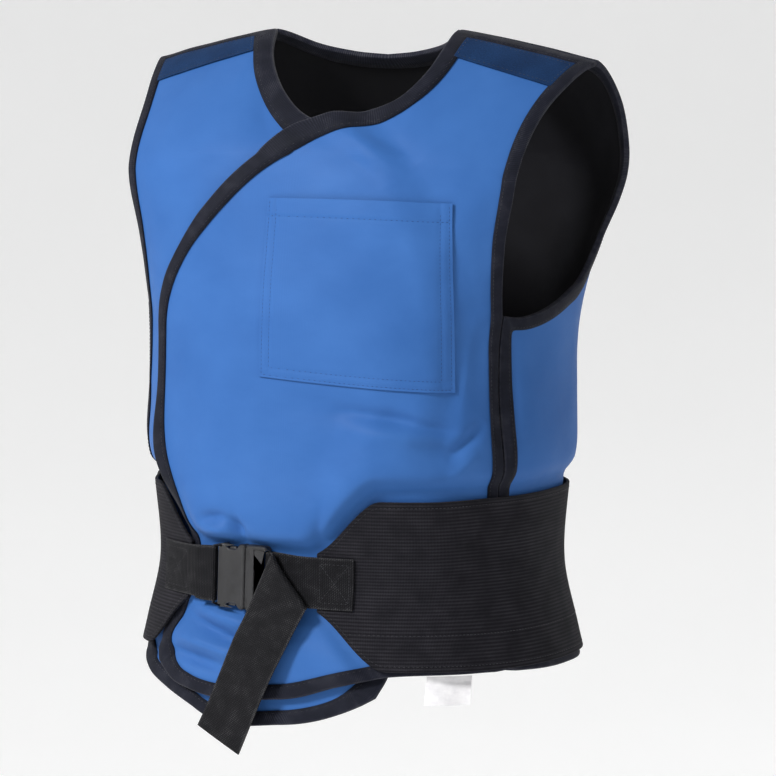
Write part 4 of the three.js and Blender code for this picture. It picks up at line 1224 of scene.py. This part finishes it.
# %% The yokes
YOKE_THICK, YOKE_SQUARES = 1.3, (56, 14)
YOKE_INNER_END = {1: (110, -14), -1: (97, -10.5)}  # x and height at the neck, left and right
YOKE_EDGE = [(155, -26), (203, -40)]  # the rest of the lower edge
YOKE_TOP, YOKE_TOP_Z = (NECK_HALF_WIDTH + BINDING_WIDTH + 3, 213), -10  # x at both ends, and the height
YOKE_TOP_GAP, YOKE_ROW = 0.4, (0.025, 0.09)  # to the tape, and the stitches' inset in shares of the yoke


def yoke_places(side):
    edge = [YOKE_INNER_END[side], *YOKE_EDGE]
    edge_height = smooth_column(edge, 1)

    def places(across, up):
        share = across if side > 0 else 1 - across
        lower_x = blend(edge[0][0], edge[-1][0], share)
        upper_x = blend(*YOKE_TOP, share)
        lower = front_pattern(side * lower_x, edge_height(lower_x))
        top = blend(*SHOULDER_EDGE_DROP, along_shoulder(upper_x)) + BINDING_WIDTH + YOKE_TOP_GAP
        x = blend(lower[:, 0], front_pattern(side * upper_x, np.full_like(upper_x, YOKE_TOP_Z))[:, 0], up)
        return x, blend(lower[:, 1], -top, up), ON_PANEL + YOKE_THICK / 2 + 0 * x

    return places


def make_yoke(name, side, lift_at, node):
    patch = cut_patch(*YOKE_SQUARES, yoke_places(side))
    keep_paper_map(patch)
    put_on(patch, lift_at)
    size = measured(patch, *YOKE_SQUARES)
    yoke = as_piece(name, patch, [yoke_navy], [node])
    thicken(yoke, YOKE_THICK, offset=0)
    soften_rim(yoke, PATCH_RIM)
    return yoke, size


left_yoke_patch, left_yoke_size = make_yoke("left_yoke_patch", 1, wrap_lift, "left_yoke")
right_yoke_patch, right_yoke_size = make_yoke("right_yoke_patch", -1, no_lift, "right_yoke")
print("yokes:", left_yoke_patch.name, right_yoke_patch.name)

# %% [markdown]
# A yoke is sewn down along all four edges. The rows are drawn in shares of the patch, so they keep their
# distance from edges that aren't square to each other.

# %% Stitches round the yokes
def patch_rows(places, insets, sides, count=60):
    """Lines inside a patch's edges on the paper; an inset is in shares of the patch, across and up."""
    share = np.linspace(0, 1, count)
    for across_in, up_in in insets:
        level, steep = blend(across_in, 1 - across_in, share), blend(up_in, 1 - up_in, share)
        ends = {"left": (0 * share + across_in, steep), "right": (0 * share + 1 - across_in, steep),
                "bottom": (level, 0 * share + up_in), "top": (level, 0 * share + 1 - up_in)}
        for side in sides:
            yield np.column_stack(places(*ends[side])[:2])


def sew_yoke(name, side, lift_at):
    seam = bmesh.new()
    for row in patch_rows(yoke_places(side), [YOKE_ROW], ("left", "right", "bottom", "top")):
        sew(seam, row, over_panel(lift_at, ON_PANEL + YOKE_THICK))
    return finish_seam(name, seam, black_thread)


left_yoke_stitches = sew_yoke("left_yoke_stitches", 1, wrap_lift)
right_yoke_stitches = sew_yoke("right_yoke_stitches", -1, no_lift)
print("yoke stitches:", stitch_count(left_yoke_stitches), "and", stitch_count(right_yoke_stitches))

# %% [markdown]
# The chest pocket is the cover's own cloth, open at the top, so its middle stands a little off the chest.
# Its sewn rows pull the cloth down in fine dents, and the hem at the top is double. These are small enough
# for a texture, but as real height they also shade the pocket's edge, so the grid is fine.

# %% The pocket
POCKET_THICK, POCKET_OFF, POCKET_POUCH = 1.2, 0.5, 2.6
POCKET_SIDES, POCKET_TOP, POCKET_BOTTOM = (-22, 148), -140, (-298, -308)
POCKET_ROWS, POCKET_HEM = (0.015, 0.058), 0.9  # shares: sewn rows in from the edge, and the hem's start
POCKET_SQUARES = (110, 110)
DENT_DEPTH, DENT_WIDTH = 0.45, 0.011  # a sewn row's, the width as a share of the pocket
HEM_STEP, HEM_STEP_WIDTH, HEM_DENT, HEM_DENT_WIDTH = 0.4, 0.012, 0.2, 0.009  # the widths are shares too
POUCH_FULLNESS = 0.6  # the lower, the sooner the pouch stands off its sewn edges


def sewn_dent(share):
    """How far a sewn row pulls the cloth down beside it."""
    return sum(DENT_DEPTH * np.exp(-(((share - row) / DENT_WIDTH) ** 2)) for row in POCKET_ROWS)


def pocket_places(across, up):
    x = blend(*POCKET_SIDES, across)
    z = blend(blend(*POCKET_BOTTOM, across), POCKET_TOP, up)
    full_across = np.sin(math.pi * across).clip(0) ** POUCH_FULLNESS
    pouch = POCKET_POUCH * full_across * np.sin(math.pi / 2 * up) ** POUCH_FULLNESS
    hem = HEM_STEP * smoothstep(up, POCKET_HEM, POCKET_HEM + HEM_STEP_WIDTH)
    hem = hem - HEM_DENT * np.exp(-(((up - POCKET_HEM) / HEM_DENT_WIDTH) ** 2))
    dent = np.maximum.reduce([sewn_dent(across), sewn_dent(1 - across), sewn_dent(up)])
    return (*front_pattern(x, z).T, ON_PANEL + POCKET_OFF + POCKET_THICK / 2 + pouch + hem - dent)


pocket_cloth = cut_patch(*POCKET_SQUARES, pocket_places)
keep_paper_map(pocket_cloth)
put_on(pocket_cloth, wrap_lift)
pocket_size = measured(pocket_cloth, *POCKET_SQUARES)
pocket_patch = as_piece("pocket_patch", pocket_cloth, [cover_blue], ["chest_pocket"])
thicken(pocket_patch, POCKET_THICK, offset=0)
soften_rim(pocket_patch, PATCH_RIM)
print("pocket faces:", len(pocket_patch.data.polygons))

# %% [markdown]
# The pocket has two rows of blue stitches at its sides and its bottom, and one under the hem. They lie on
# the pocket's own bulging face, so that face is found again from a place on the paper.

# %% Stitches of the pocket
def pocket_face(flat):
    """The pocket's outer face for places on the paper, found again from its sides and its slanting bottom."""
    turn, z = from_pattern(flat)
    x = form_place(turn, z)[..., 0]
    across = np.clip((x - POCKET_SIDES[0]) / (POCKET_SIDES[1] - POCKET_SIDES[0]), 0, 1)
    bottom = blend(*POCKET_BOTTOM, across)
    up = np.clip((z - bottom) / (POCKET_TOP - bottom), 0, 1)
    height = pocket_places(across, up)[2]
    return worn_place(turn, z, wrap_lift(turn, z) + height + POCKET_THICK / 2)


seam = bmesh.new()
for row in patch_rows(pocket_places, [(inset, inset) for inset in POCKET_ROWS], ("left", "right", "bottom")):
    sew(seam, row, pocket_face)
for row in patch_rows(pocket_places, [(POCKET_ROWS[0], 1 - POCKET_HEM)], ("top",)):
    sew(seam, row, pocket_face)
pocket_stitches = finish_seam("pocket_stitches", seam, blue_thread)
print("pocket stitches:", stitch_count(pocket_stitches))

# %% [markdown]
# ## The elastic belt
# One wide elastic goes round the back and ends in a wing at each side of the front. It takes the weight
# off the shoulders. It is drawn as a grid round the form, high behind and only as high as the webbing at
# its tips, and lies outside the swollen cloth without following its folds, because it is under tension.

# %% The belt
BELT_INNER = BINDING_REACH + 1.5  # the belt's inner face over a panel's middle
BELT_SQUARES, BELT_RIM = (260, 44), 0.8
OUTER_STARTS, OUTER_ENDS = (-62, -46), (62, 80)  # turns between which the outer front lies under it


def lift_under_belt(turn):
    """The outer front's lift where the belt crosses it, and none behind."""
    on_outer = smoothstep(turn, *OUTER_STARTS) * (1 - smoothstep(turn, *OUTER_ENDS))
    return wrap_lift(turn, np.full_like(turn, BELT_MIDDLE_Z)) * on_outer


def flat_belt(across, up):
    turn = BELT_CENTRE_TURN + BELT_TIP_TURN + (360 - 2 * BELT_TIP_TURN) * across
    return GIRTH_RADIUS * np.radians(turn), blend(-1, 1, up) * belt_half_height(turn), 0 * turn


def belt_spot(x, height, depth):
    """A worn place of the belt, from its flat place and its way out from the belt's inner face."""
    turn = np.degrees(x / GIRTH_RADIUS)
    wrapped = np.where(turn > 180, turn - 360, turn)
    z = BELT_MIDDLE_Z + height
    lift = lift_under_belt(wrapped) + BELT_INNER + depth
    return form_place(wrapped, z) + form_normal(wrapped, z) * lift[:, None]


def belt_places(across, up):
    x, height, _ = flat_belt(across, up)
    return belt_spot(x, height, BELT_THICK / 2).T * MM


def wear(patch, columns, rows, place_at):
    """Moves a flat band from the table to its worn places; the shares are read from the grid's order."""
    up, across = np.divmod(np.arange(len(patch.verts)), columns + 1)
    move_corners(patch, np.column_stack(place_at(across / columns, up / rows)))


belt_cloth = cut_patch(*BELT_SQUARES, flat_belt)
keep_paper_map(belt_cloth)
wear(belt_cloth, *BELT_SQUARES, belt_places)
belt_size = measured(belt_cloth, *BELT_SQUARES)
elastic_belt = as_piece("elastic_belt", belt_cloth, [belt_elastic], ["lumbar_belt"])
thicken(elastic_belt, BELT_THICK, offset=0)
soften_rim(elastic_belt, BELT_RIM)
print("belt:", [round(v, 3) for v in belt_size])

# %% [markdown]
# A row of stitches runs inside each long edge of the belt, and one more low on it keeps the elastic even.
# A painted line would look flat from near, so these are beads of thread too. The rows are drawn on the flat
# belt and laid on its outer face by the function that placed the belt itself.

# %% Stitches of the belt
def belt_face(flat):
    """The belt's outer face for places of the flat belt."""
    return belt_spot(flat[:, 0], flat[:, 1], BELT_THICK)


BELT_ROW_INSET, BELT_LOW_ROW, BELT_ROW_MARGIN = 5, -46, 2
BELT_ROW_ENDS, BELT_ROW_STEPS = (0.002, 0.998), 500
belt_share = np.linspace(*BELT_ROW_ENDS, BELT_ROW_STEPS)
belt_x, belt_half, _ = flat_belt(belt_share, np.ones_like(belt_share))
seam = bmesh.new()
for edge in (-1, 1):
    sew(seam, np.column_stack([belt_x, edge * (belt_half - BELT_ROW_INSET)]), belt_face)
low = belt_half > BELT_ROW_MARGIN - BELT_LOW_ROW
sew(seam, np.column_stack([belt_x[low], np.full(low.sum(), BELT_LOW_ROW)]), belt_face)
belt_stitches = finish_seam("belt_stitches", seam, black_thread)
print("belt stitches:", stitch_count(belt_stitches))

# %% [markdown]
# ## Webbing and strap
# Two bands of webbing close the belt over a buckle. The buckle is stiff and flat, and the belt is curved,
# so the webbing lies flat at the buckle and bends with the belt further away. The buckle's own frame comes
# first: along the belt, up the belt and out from the vest.

# %% Where the webbing lies
STRAP_LIFT = WRAP_LIFT + BELT_INNER + BELT_THICK + 2 * CLEARANCE + WEBBING_THICK / 2
CLIP_X, SOCKET_X = -10, -72  # where the two webbings turn round the buckle's bars
SEWN_LEFT_X, SEWN_RIGHT_X = 66, -132
LOOP_RADIUS, FOLD_RADIUS = 3.2, 2
FOLD_X, FOLD_SLANT = 9, -0.64
TAIL_LENGTH, TAIL_END_LIFT = 163, WRAP_LIFT + BINDING_REACH + 5
BAR_X = 31  # of both bars from the buckle's middle
BEND_WAY = (4, 34)  # past a bar, where the webbing comes to follow the belt


def over_belt(x, z, lift):
    middle_turn = turn_at(x, np.full_like(x, BELT_MIDDLE_Z))
    turn = turn_at(x, z)
    raised = lift_under_belt(middle_turn) - WRAP_LIFT + lift
    return form_place(turn, z) + form_normal(turn, z) * raised[..., None]


def buckle_axes():
    """The buckle's own frame: along the belt, up the belt and out from the vest, with its middle."""
    x = np.array([SOCKET_X, CLIP_X, (SOCKET_X + CLIP_X) / 2, (SOCKET_X + CLIP_X) / 2], float)
    z = BELT_MIDDLE_Z + np.array([0, 0, -20, 20], float)
    right, left, low, high = over_belt(x, z, np.full(4, STRAP_LIFT + LOOP_RADIUS))
    along = unit(left - right)
    out = unit(np.cross(along, high - low))
    return np.array([along, np.cross(out, along), out]), (right + left) / 2


BUCKLE_AXES, BUCKLE_MIDDLE = buckle_axes()


def strap_place(x, z, lift):
    """A place of the webbing: flat at the buckle, and bending with the belt further away."""
    on_left = x > (CLIP_X + SOCKET_X) / 2
    along = np.where(on_left, x - CLIP_X + BAR_X, x - SOCKET_X - BAR_X)
    in_buckle = np.stack([along, z - BELT_MIDDLE_Z, lift - STRAP_LIFT - LOOP_RADIUS], -1)
    flat = in_buckle @ BUCKLE_AXES + BUCKLE_MIDDLE
    past_bar = np.maximum(0, np.abs(along) - BAR_X)
    below = np.maximum(0, BELT_MIDDLE_Z - WEBBING_WIDTH / 2 - z)
    bent = smoothstep(np.hypot(past_bar, below), *BEND_WAY)[..., None]
    return flat * (1 - bent) + over_belt(x, z, lift) * bent


print("buckle's middle:", np.round(BUCKLE_MIDDLE, 1))

# %% [markdown]
# A short webbing on the right wing goes round the socket's bar and is sewn back on itself. A band is a
# grid whose every row is asked where it lies, so the turn round the bar is a real turn of the cloth.

# %% The short webbing that holds the socket
SOCKET_RUN, TURN_LENGTH, SOCKET_BACK = SOCKET_X - SEWN_RIGHT_X, math.pi * LOOP_RADIUS, 16
WEBBING_COLUMNS, WEBBING_RIM = 20, 0.5


def band_rows(*stretches):
    """Places along a band: each stretch is its start, its end and its number of rows."""
    rows = [np.linspace(start, end, count + 1)[1:] for start, end, count in stretches]
    return np.concatenate([[stretches[0][0]], *rows])


def make_band(name, alongs, slants, place_at, node):
    """A band of webbing, with its length as u and its width as v."""
    columns, rows = WEBBING_COLUMNS, len(alongs) - 1
    band = bmesh.new()
    bmesh.ops.create_grid(band, x_segments=columns, y_segments=rows, size=1)
    row, column = np.divmod(np.arange(len(band.verts)), columns + 1)
    across = (column / columns - 0.5) * WEBBING_WIDTH
    along = alongs[row] + slants[row] * across
    move_corners(band, np.column_stack([along, across, 0 * along]))
    keep_paper_map(band)
    move_corners(band, place_at(along, across) * MM)
    _, length, area = measured(band, columns, rows)
    bmesh.ops.recalc_face_normals(band, faces=band.faces[:])
    piece = as_piece(name, band, [webbing_black], [node])
    thicken(piece, WEBBING_THICK, offset=0)
    soften_rim(piece, WEBBING_RIM)
    print(name, "is", round(length, 3), "m long")
    return piece, (WEBBING_WIDTH * MM, length, area)


def socket_webbing_places(along, across):
    angle = np.clip((along - SOCKET_RUN) / LOOP_RADIUS, 0, math.pi)
    past = np.maximum(0, along - SOCKET_RUN - TURN_LENGTH)
    x = SEWN_RIGHT_X + np.minimum(along, SOCKET_RUN) + LOOP_RADIUS * np.sin(angle) - past
    return strap_place(x, BELT_MIDDLE_Z + across, STRAP_LIFT + LOOP_RADIUS * (1 - np.cos(angle)))


socket_rows = band_rows((0, SOCKET_RUN, 30), (SOCKET_RUN, SOCKET_RUN + TURN_LENGTH, 16),
                        (SOCKET_RUN + TURN_LENGTH, SOCKET_RUN + TURN_LENGTH + SOCKET_BACK, 8))
socket_webbing, socket_webbing_size = make_band("socket_webbing", socket_rows, 0 * socket_rows,
                                                socket_webbing_places, "fixed_webbing")

# %% [markdown]
# The long strap comes from the left wing and turns round the clip's bar. Its loose end is folded over on a
# slant and hangs down over the hem. A fold on a slant turns a band's direction, as in folded paper: what
# lies beyond the fold line is bent half round and laid back. The rows lean with the fold line, so that the
# fold is sharp.

# %% The long strap and its loose end
STRAP_RUN = SEWN_LEFT_X - CLIP_X
STRAP_FOLD = STRAP_RUN + TURN_LENGTH + FOLD_X - CLIP_X
STRAP_LENGTH = STRAP_FOLD + math.pi * FOLD_RADIUS + TAIL_LENGTH
TAIL_SINKS = (45, 140)  # past the fold, where the tail comes down to the cloth
TAIL_TURNS = 0.7  # share of the tail over which its rows come square again


def strap_places(along, across):
    angle = np.clip((along - STRAP_RUN) / LOOP_RADIUS, 0, math.pi)
    sewn = strap_place(SEWN_LEFT_X - np.minimum(along, STRAP_RUN) - LOOP_RADIUS * np.sin(angle),
                       BELT_MIDDLE_Z + across, STRAP_LIFT + LOOP_RADIUS * (1 - np.cos(angle)))
    fold = np.array([FOLD_SLANT, 1]) / math.hypot(FOLD_SLANT, 1)
    beyond_fold = np.array([fold[1], -fold[0]])
    flat = np.stack([along - STRAP_FOLD, across], -1)
    beyond = flat @ beyond_fold
    bend = np.clip(beyond / FOLD_RADIUS, 0, math.pi)
    returned = np.maximum(0, beyond - math.pi * FOLD_RADIUS)
    out = np.minimum(beyond, 0) + FOLD_RADIUS * np.sin(bend) - returned
    place = (flat @ fold)[:, None] * fold + out[:, None] * beyond_fold
    layered = STRAP_LIFT + 2 * LOOP_RADIUS + FOLD_RADIUS * (1 - np.cos(bend))
    lift = blend(layered, TAIL_END_LIFT, smoothstep(returned, *TAIL_SINKS))
    loose = strap_place(FOLD_X + place[:, 0], BELT_MIDDLE_Z + place[:, 1], lift)
    return np.where((along < STRAP_RUN + TURN_LENGTH)[:, None], sewn, loose)


loop_end = STRAP_RUN + TURN_LENGTH
fold_end = STRAP_FOLD + math.pi * FOLD_RADIUS * math.hypot(1, FOLD_SLANT)
strap_rows = band_rows((0, STRAP_RUN, 36), (STRAP_RUN, loop_end, 16), (loop_end, STRAP_FOLD, 10),
                       (STRAP_FOLD, fold_end, 16), (fold_end, STRAP_LENGTH, 76))
lean_in = smoothstep(strap_rows, loop_end, STRAP_FOLD)
lean_out = smoothstep(strap_rows, fold_end, blend(fold_end, STRAP_LENGTH, TAIL_TURNS))
strap_slants = FOLD_SLANT * lean_in * (1 - lean_out)
loose_strap, loose_strap_size = make_band("loose_strap", strap_rows, strap_slants, strap_places, "long_strap")

# %% [markdown]
# Where webbing is sewn to the belt, a square with a cross in it spreads the pull over the whole end. The
# lines are drawn flat on the band, and the band's own function lays them on its outer face.

# %% Crossed squares on the webbing's ends
SEWN_SQUARE = (4, 26, 19)  # its start and its length along the band, and half its width


def crossed_square(start, length, half):
    """The lines of a sewn square and its cross: along the band and across it."""
    low, high = start, start + length
    corners = [(low, -half), (high, -half), (high, half), (low, half)]
    pairs = [*zip(corners, corners[1:] + corners[:1]), (corners[0], corners[2]), (corners[1], corners[3])]
    return [np.linspace(a, b, 20) for a, b in pairs]


def band_face(places):
    def surface(flat):
        spot = places(flat[:, 0], flat[:, 1])
        along = places(flat[:, 0] + 0.5, flat[:, 1]) - places(flat[:, 0] - 0.5, flat[:, 1])
        across = places(flat[:, 0], flat[:, 1] + 0.5) - places(flat[:, 0], flat[:, 1] - 0.5)
        out = unit(np.cross(along, across))
        return spot + out * np.sign(np.sum(out * spot, axis=1, keepdims=True)) * WEBBING_THICK / 2

    return surface


seam = bmesh.new()
for places in (socket_webbing_places, strap_places):
    for line in crossed_square(*SEWN_SQUARE):
        sew(seam, line, band_face(places))
webbing_stitches = finish_seam("webbing_stitches", seam, black_thread)
print("webbing stitches:", stitch_count(webbing_stitches))

# %% [markdown]
# ## The buckle
# The side-release buckle is moulded plastic: a socket and a clip whose prongs spring into it. The packed
# solids have its exact form, so they are copied and their split triangles are merged back to whole faces.
# The front gets the shallow sunk field that moulders use to save plastic, and every edge gets the small
# radius that a mould leaves.

# %% The socket and the clip
MOULD_RADIUS, FIELD_INSET, FIELD_DEPTH = 0.45, 2.6, 0.6
WELD = 0.01  # corners nearer than this are one
FLAT_TURN, ROUNDED_TURN, SHADED_TURN = (math.radians(turn) for turn in (2, 25, 35))
FACING_FRONT = 0.95  # the least cosine between a front face's direction and the way out from the vest


def make_moulding(name, node):
    moulding = bmesh.new()
    moulding.from_mesh(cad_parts[node].data)
    bmesh.ops.remove_doubles(moulding, verts=moulding.verts[:], dist=WELD * MM)
    bmesh.ops.dissolve_limit(moulding, verts=moulding.verts[:], edges=moulding.edges[:],
                             angle_limit=FLAT_TURN)
    forward = Vector(BUCKLE_AXES[2])
    facing = [face for face in moulding.faces if face.normal.dot(forward) > FACING_FRONT]
    front = max(facing, key=lambda face: face.calc_area())
    bmesh.ops.inset_individual(moulding, faces=[front], thickness=FIELD_INSET * MM, depth=-FIELD_DEPTH * MM,
                               use_even_offset=True)
    whole = [edge for edge in moulding.edges if edge.is_manifold]
    sharp = [edge for edge in whole if edge.calc_face_angle() > ROUNDED_TURN]
    bmesh.ops.bevel(moulding, geom=sharp, offset=MOULD_RADIUS * MM, offset_type="OFFSET", segments=2,
                    profile=0.5, affect="EDGES", material=-1, clamp_overlap=True)
    bmesh.ops.recalc_face_normals(moulding, faces=moulding.faces[:])
    piece = as_piece(name, moulding, [buckle_plastic], [node])
    piece.data.set_sharp_from_angle(angle=SHADED_TURN)
    print(name, "has", len(piece.data.polygons), "faces and", len(sharp), "rounded edges")


make_moulding("socket_moulding", "buckle_socket")
make_moulding("clip_moulding", "buckle_clip")

# %% [markdown]
# ## The label
# A small white label is caught under the tape at the hem and hangs free below it. It is left blank. It
# could be one flat square, but a ribbon never hangs quite flat, so its lower edge curls a little.

# %% The blank label
LABEL_SIDES, LABEL_TOP, LABEL_BOTTOM, LABEL_THICK = (130, 164), -564.4, -590, 0.8
LABEL_WIDTH, LABEL_LENGTH, LABEL_SQUARES = 34, 26, (24, 18)
LABEL_CURL, LABEL_RIM = 1.2, 0.25


def label_places(across, up):
    x, z = blend(*LABEL_SIDES, across), blend(LABEL_BOTTOM, LABEL_TOP, up)
    top_z = np.full_like(x, LABEL_TOP)
    lift = wrap_lift(turn_at(x, top_z), top_z) + LABEL_CURL * (1 - up) ** 2 * np.sin(across * 5 + 0.4)
    return worn_place(turn_at(x, z), z, lift).T * MM


def flat_label(across, up):
    return LABEL_WIDTH * across, LABEL_LENGTH * up, 0 * up


label_cloth = cut_patch(*LABEL_SQUARES, flat_label)
keep_paper_map(label_cloth)
wear(label_cloth, *LABEL_SQUARES, label_places)
label_size = measured(label_cloth, *LABEL_SQUARES)
blank_label = as_piece("blank_label", label_cloth, [label_white], ["hem_label"])
thicken(blank_label, LABEL_THICK, offset=0)
soften_rim(blank_label, LABEL_RIM)
print("label:", [round(v, 4) for v in label_size])

# %% [markdown]
# ## What is cloth, and how large it was cut
# Each cloth piece is printed with how large it was cut before it was sewn and worn, and with how it is
# held. The panels were measured when they were put on, and the bands are as wide and as long as their
# webbing.

def declare(piece, size, held):
    """Prints a piece's cut, width and length in metres, and what it hangs from or lies on; the area is taken
    but not printed.
    """
    width, length, area = size
    min(area, width * length)
    print(piece.name, "is cut from", round(width, 3), "by", round(length, 3), "m and", held)


declare(outer_front, outer_size, "hung")
declare(under_front, under_size, "hung")
declare(back, back_size, "hung")
declare(left_yoke_patch, left_yoke_size, "laid")
declare(right_yoke_patch, right_yoke_size, "laid")
declare(pocket_patch, pocket_size, "laid")
declare(elastic_belt, belt_size, "stretched")
declare(socket_webbing, socket_webbing_size, "folded")
declare(loose_strap, loose_strap_size, "folded")
declare(blank_label, label_size, "hung")

# %% [markdown]
# ## Stage, light and camera
# The vest is shown as if worn, in a round studio bowl whose pale floor runs up into its wall, so that
# there is no horizon from any side. A plane would do for one picture, but its edge would show in the
# others. A bent line is rounded at its corners and spun once round.

# %% A pale studio bowl
FLOOR_Z, FLOOR_RADIUS, BOWL_RADIUS = -1.45, 5.5, 9.0
SLOPE_TOP, BOWL_WALL, BOWL_ROUNDING, BOWL_STEPS = 3.5, 7.0, 2.2, 72

bowl = bmesh.new()
bends = ((0, 0), (FLOOR_RADIUS, 0), (BOWL_RADIUS, SLOPE_TOP), (BOWL_RADIUS, BOWL_WALL))
profile = [bowl.verts.new((radius, 0, FLOOR_Z + height)) for radius, height in bends]
for pair in zip(profile, profile[1:]):
    bowl.edges.new(pair)
bmesh.ops.bevel(bowl, geom=profile[1:3], offset=BOWL_ROUNDING, offset_type="OFFSET", segments=8, profile=0.5,
                affect="VERTICES", material=-1)
bmesh.ops.spin(bowl, geom=bowl.verts[:] + bowl.edges[:], cent=(0, 0, 0), axis=(0, 0, 1), dvec=(0, 0, 0),
               angle=2 * math.pi, steps=BOWL_STEPS, use_merge=True)
bmesh.ops.remove_doubles(bowl, verts=bowl.verts[:], dist=0.001)
bmesh.ops.recalc_face_normals(bowl, faces=bowl.faces[:])
studio_paper, tree, shader = start_finish("studio_paper", 0.9, 0.0, 0.1)
shader.inputs["Emission Color"].default_value = (1, 1, 1, 1)
shader.inputs["Emission Strength"].default_value = 0.15
tint(tree, shader, clouds(tree, surface_map(tree, "Object"), 900), (0.94, 0.94, 0.94), (0.96, 0.96, 0.96))
bowl_mesh = bpy.data.meshes.new("studio_bowl")
bowl.to_mesh(bowl_mesh)
bowl.free()
bowl_mesh.shade_smooth()
bowl_mesh.materials.append(studio_paper)
studio_bowl = bpy.data.objects.new("studio_bowl", bowl_mesh)
bpy.context.scene.collection.objects.link(studio_bowl)
studio_bowl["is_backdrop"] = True
print("bowl faces:", len(bowl_mesh.polygons))

# %% [markdown]
# Large lamps make soft shadows, as in a studio. The key light stands high and to the left of the camera,
# so folds shade downwards and the vest's left side falls off. A weak fill opens that side, and a light
# from behind draws the shoulders' edge. The black pieces stay readable because of the pale bowl around
# them.

# %% Soft lights
def soft_light(name, place, aim, size, power):
    lamp = bpy.data.lights.new(name, "AREA")
    lamp.shape, lamp.size, lamp.energy = "DISK", size, power
    light = bpy.data.objects.new(name, lamp)
    light.location = place
    light.rotation_euler = (Vector(aim) - Vector(place)).to_track_quat("-Z", "Y").to_euler()
    bpy.context.scene.collection.objects.link(light)


VEST_MIDDLE = (0, 0, -0.32)
soft_light("key", (-1.6, -3.2, 2.2), VEST_MIDDLE, 1.1, 220)
soft_light("fill", (3.4, -2.2, 0.9), VEST_MIDDLE, 2.6, 8)
soft_light("rim", (0.6, 3.4, 2.4), VEST_MIDDLE, 2.4, 40)
world = bpy.data.worlds.new("studio_air")
world.use_nodes = True
world.node_tree.nodes["Background"].inputs["Color"].default_value = (1, 1, 1, 1)
world.node_tree.nodes["Background"].inputs["Strength"].default_value = 0.3
bpy.context.scene.world = world
bpy.context.scene.view_settings.view_transform = "Standard"

# %% [markdown]
# The camera stands where it stood for the real vest: a little to the vest's left, level with the
# shoulders. A long lens fills the frame with the vest and keeps the perspective of that distance.

# %% The camera
AZIMUTH, DISTANCE, CAMERA_Z = math.radians(27), 3.2, 0.048
AIM = Vector((0.0172, 0.0088, -0.3249))
FRAME_PIXELS, FOCAL_PIXELS, SENSOR_WIDTH = 776, 3420, 36

lens = bpy.data.cameras.new("studio_camera")
lens.sensor_width = SENSOR_WIDTH
lens.lens = SENSOR_WIDTH * FOCAL_PIXELS / FRAME_PIXELS
camera = bpy.data.objects.new("studio_camera", lens)
camera.location = (DISTANCE * math.sin(AZIMUTH), -DISTANCE * math.cos(AZIMUTH), CAMERA_Z)
camera.rotation_euler = (AIM - camera.location).to_track_quat("-Z", "Y").to_euler()
bpy.context.scene.collection.objects.link(camera)
bpy.context.scene.camera = camera
print("lens:", round(lens.lens, 1), "mm")

# %% [markdown]
# ## Sizes
# The dressed vest is meant to stay as large as its solids, apart from what cloth stands proud. Both boxes
# are printed.

# %% Print the sizes
dressed_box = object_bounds()
sizes = {name: [[float(c) for c in corner] for corner in box]
         for name, box in (("cad", solid_box), ("visual", dressed_box))}
print("sizes:", sizes)
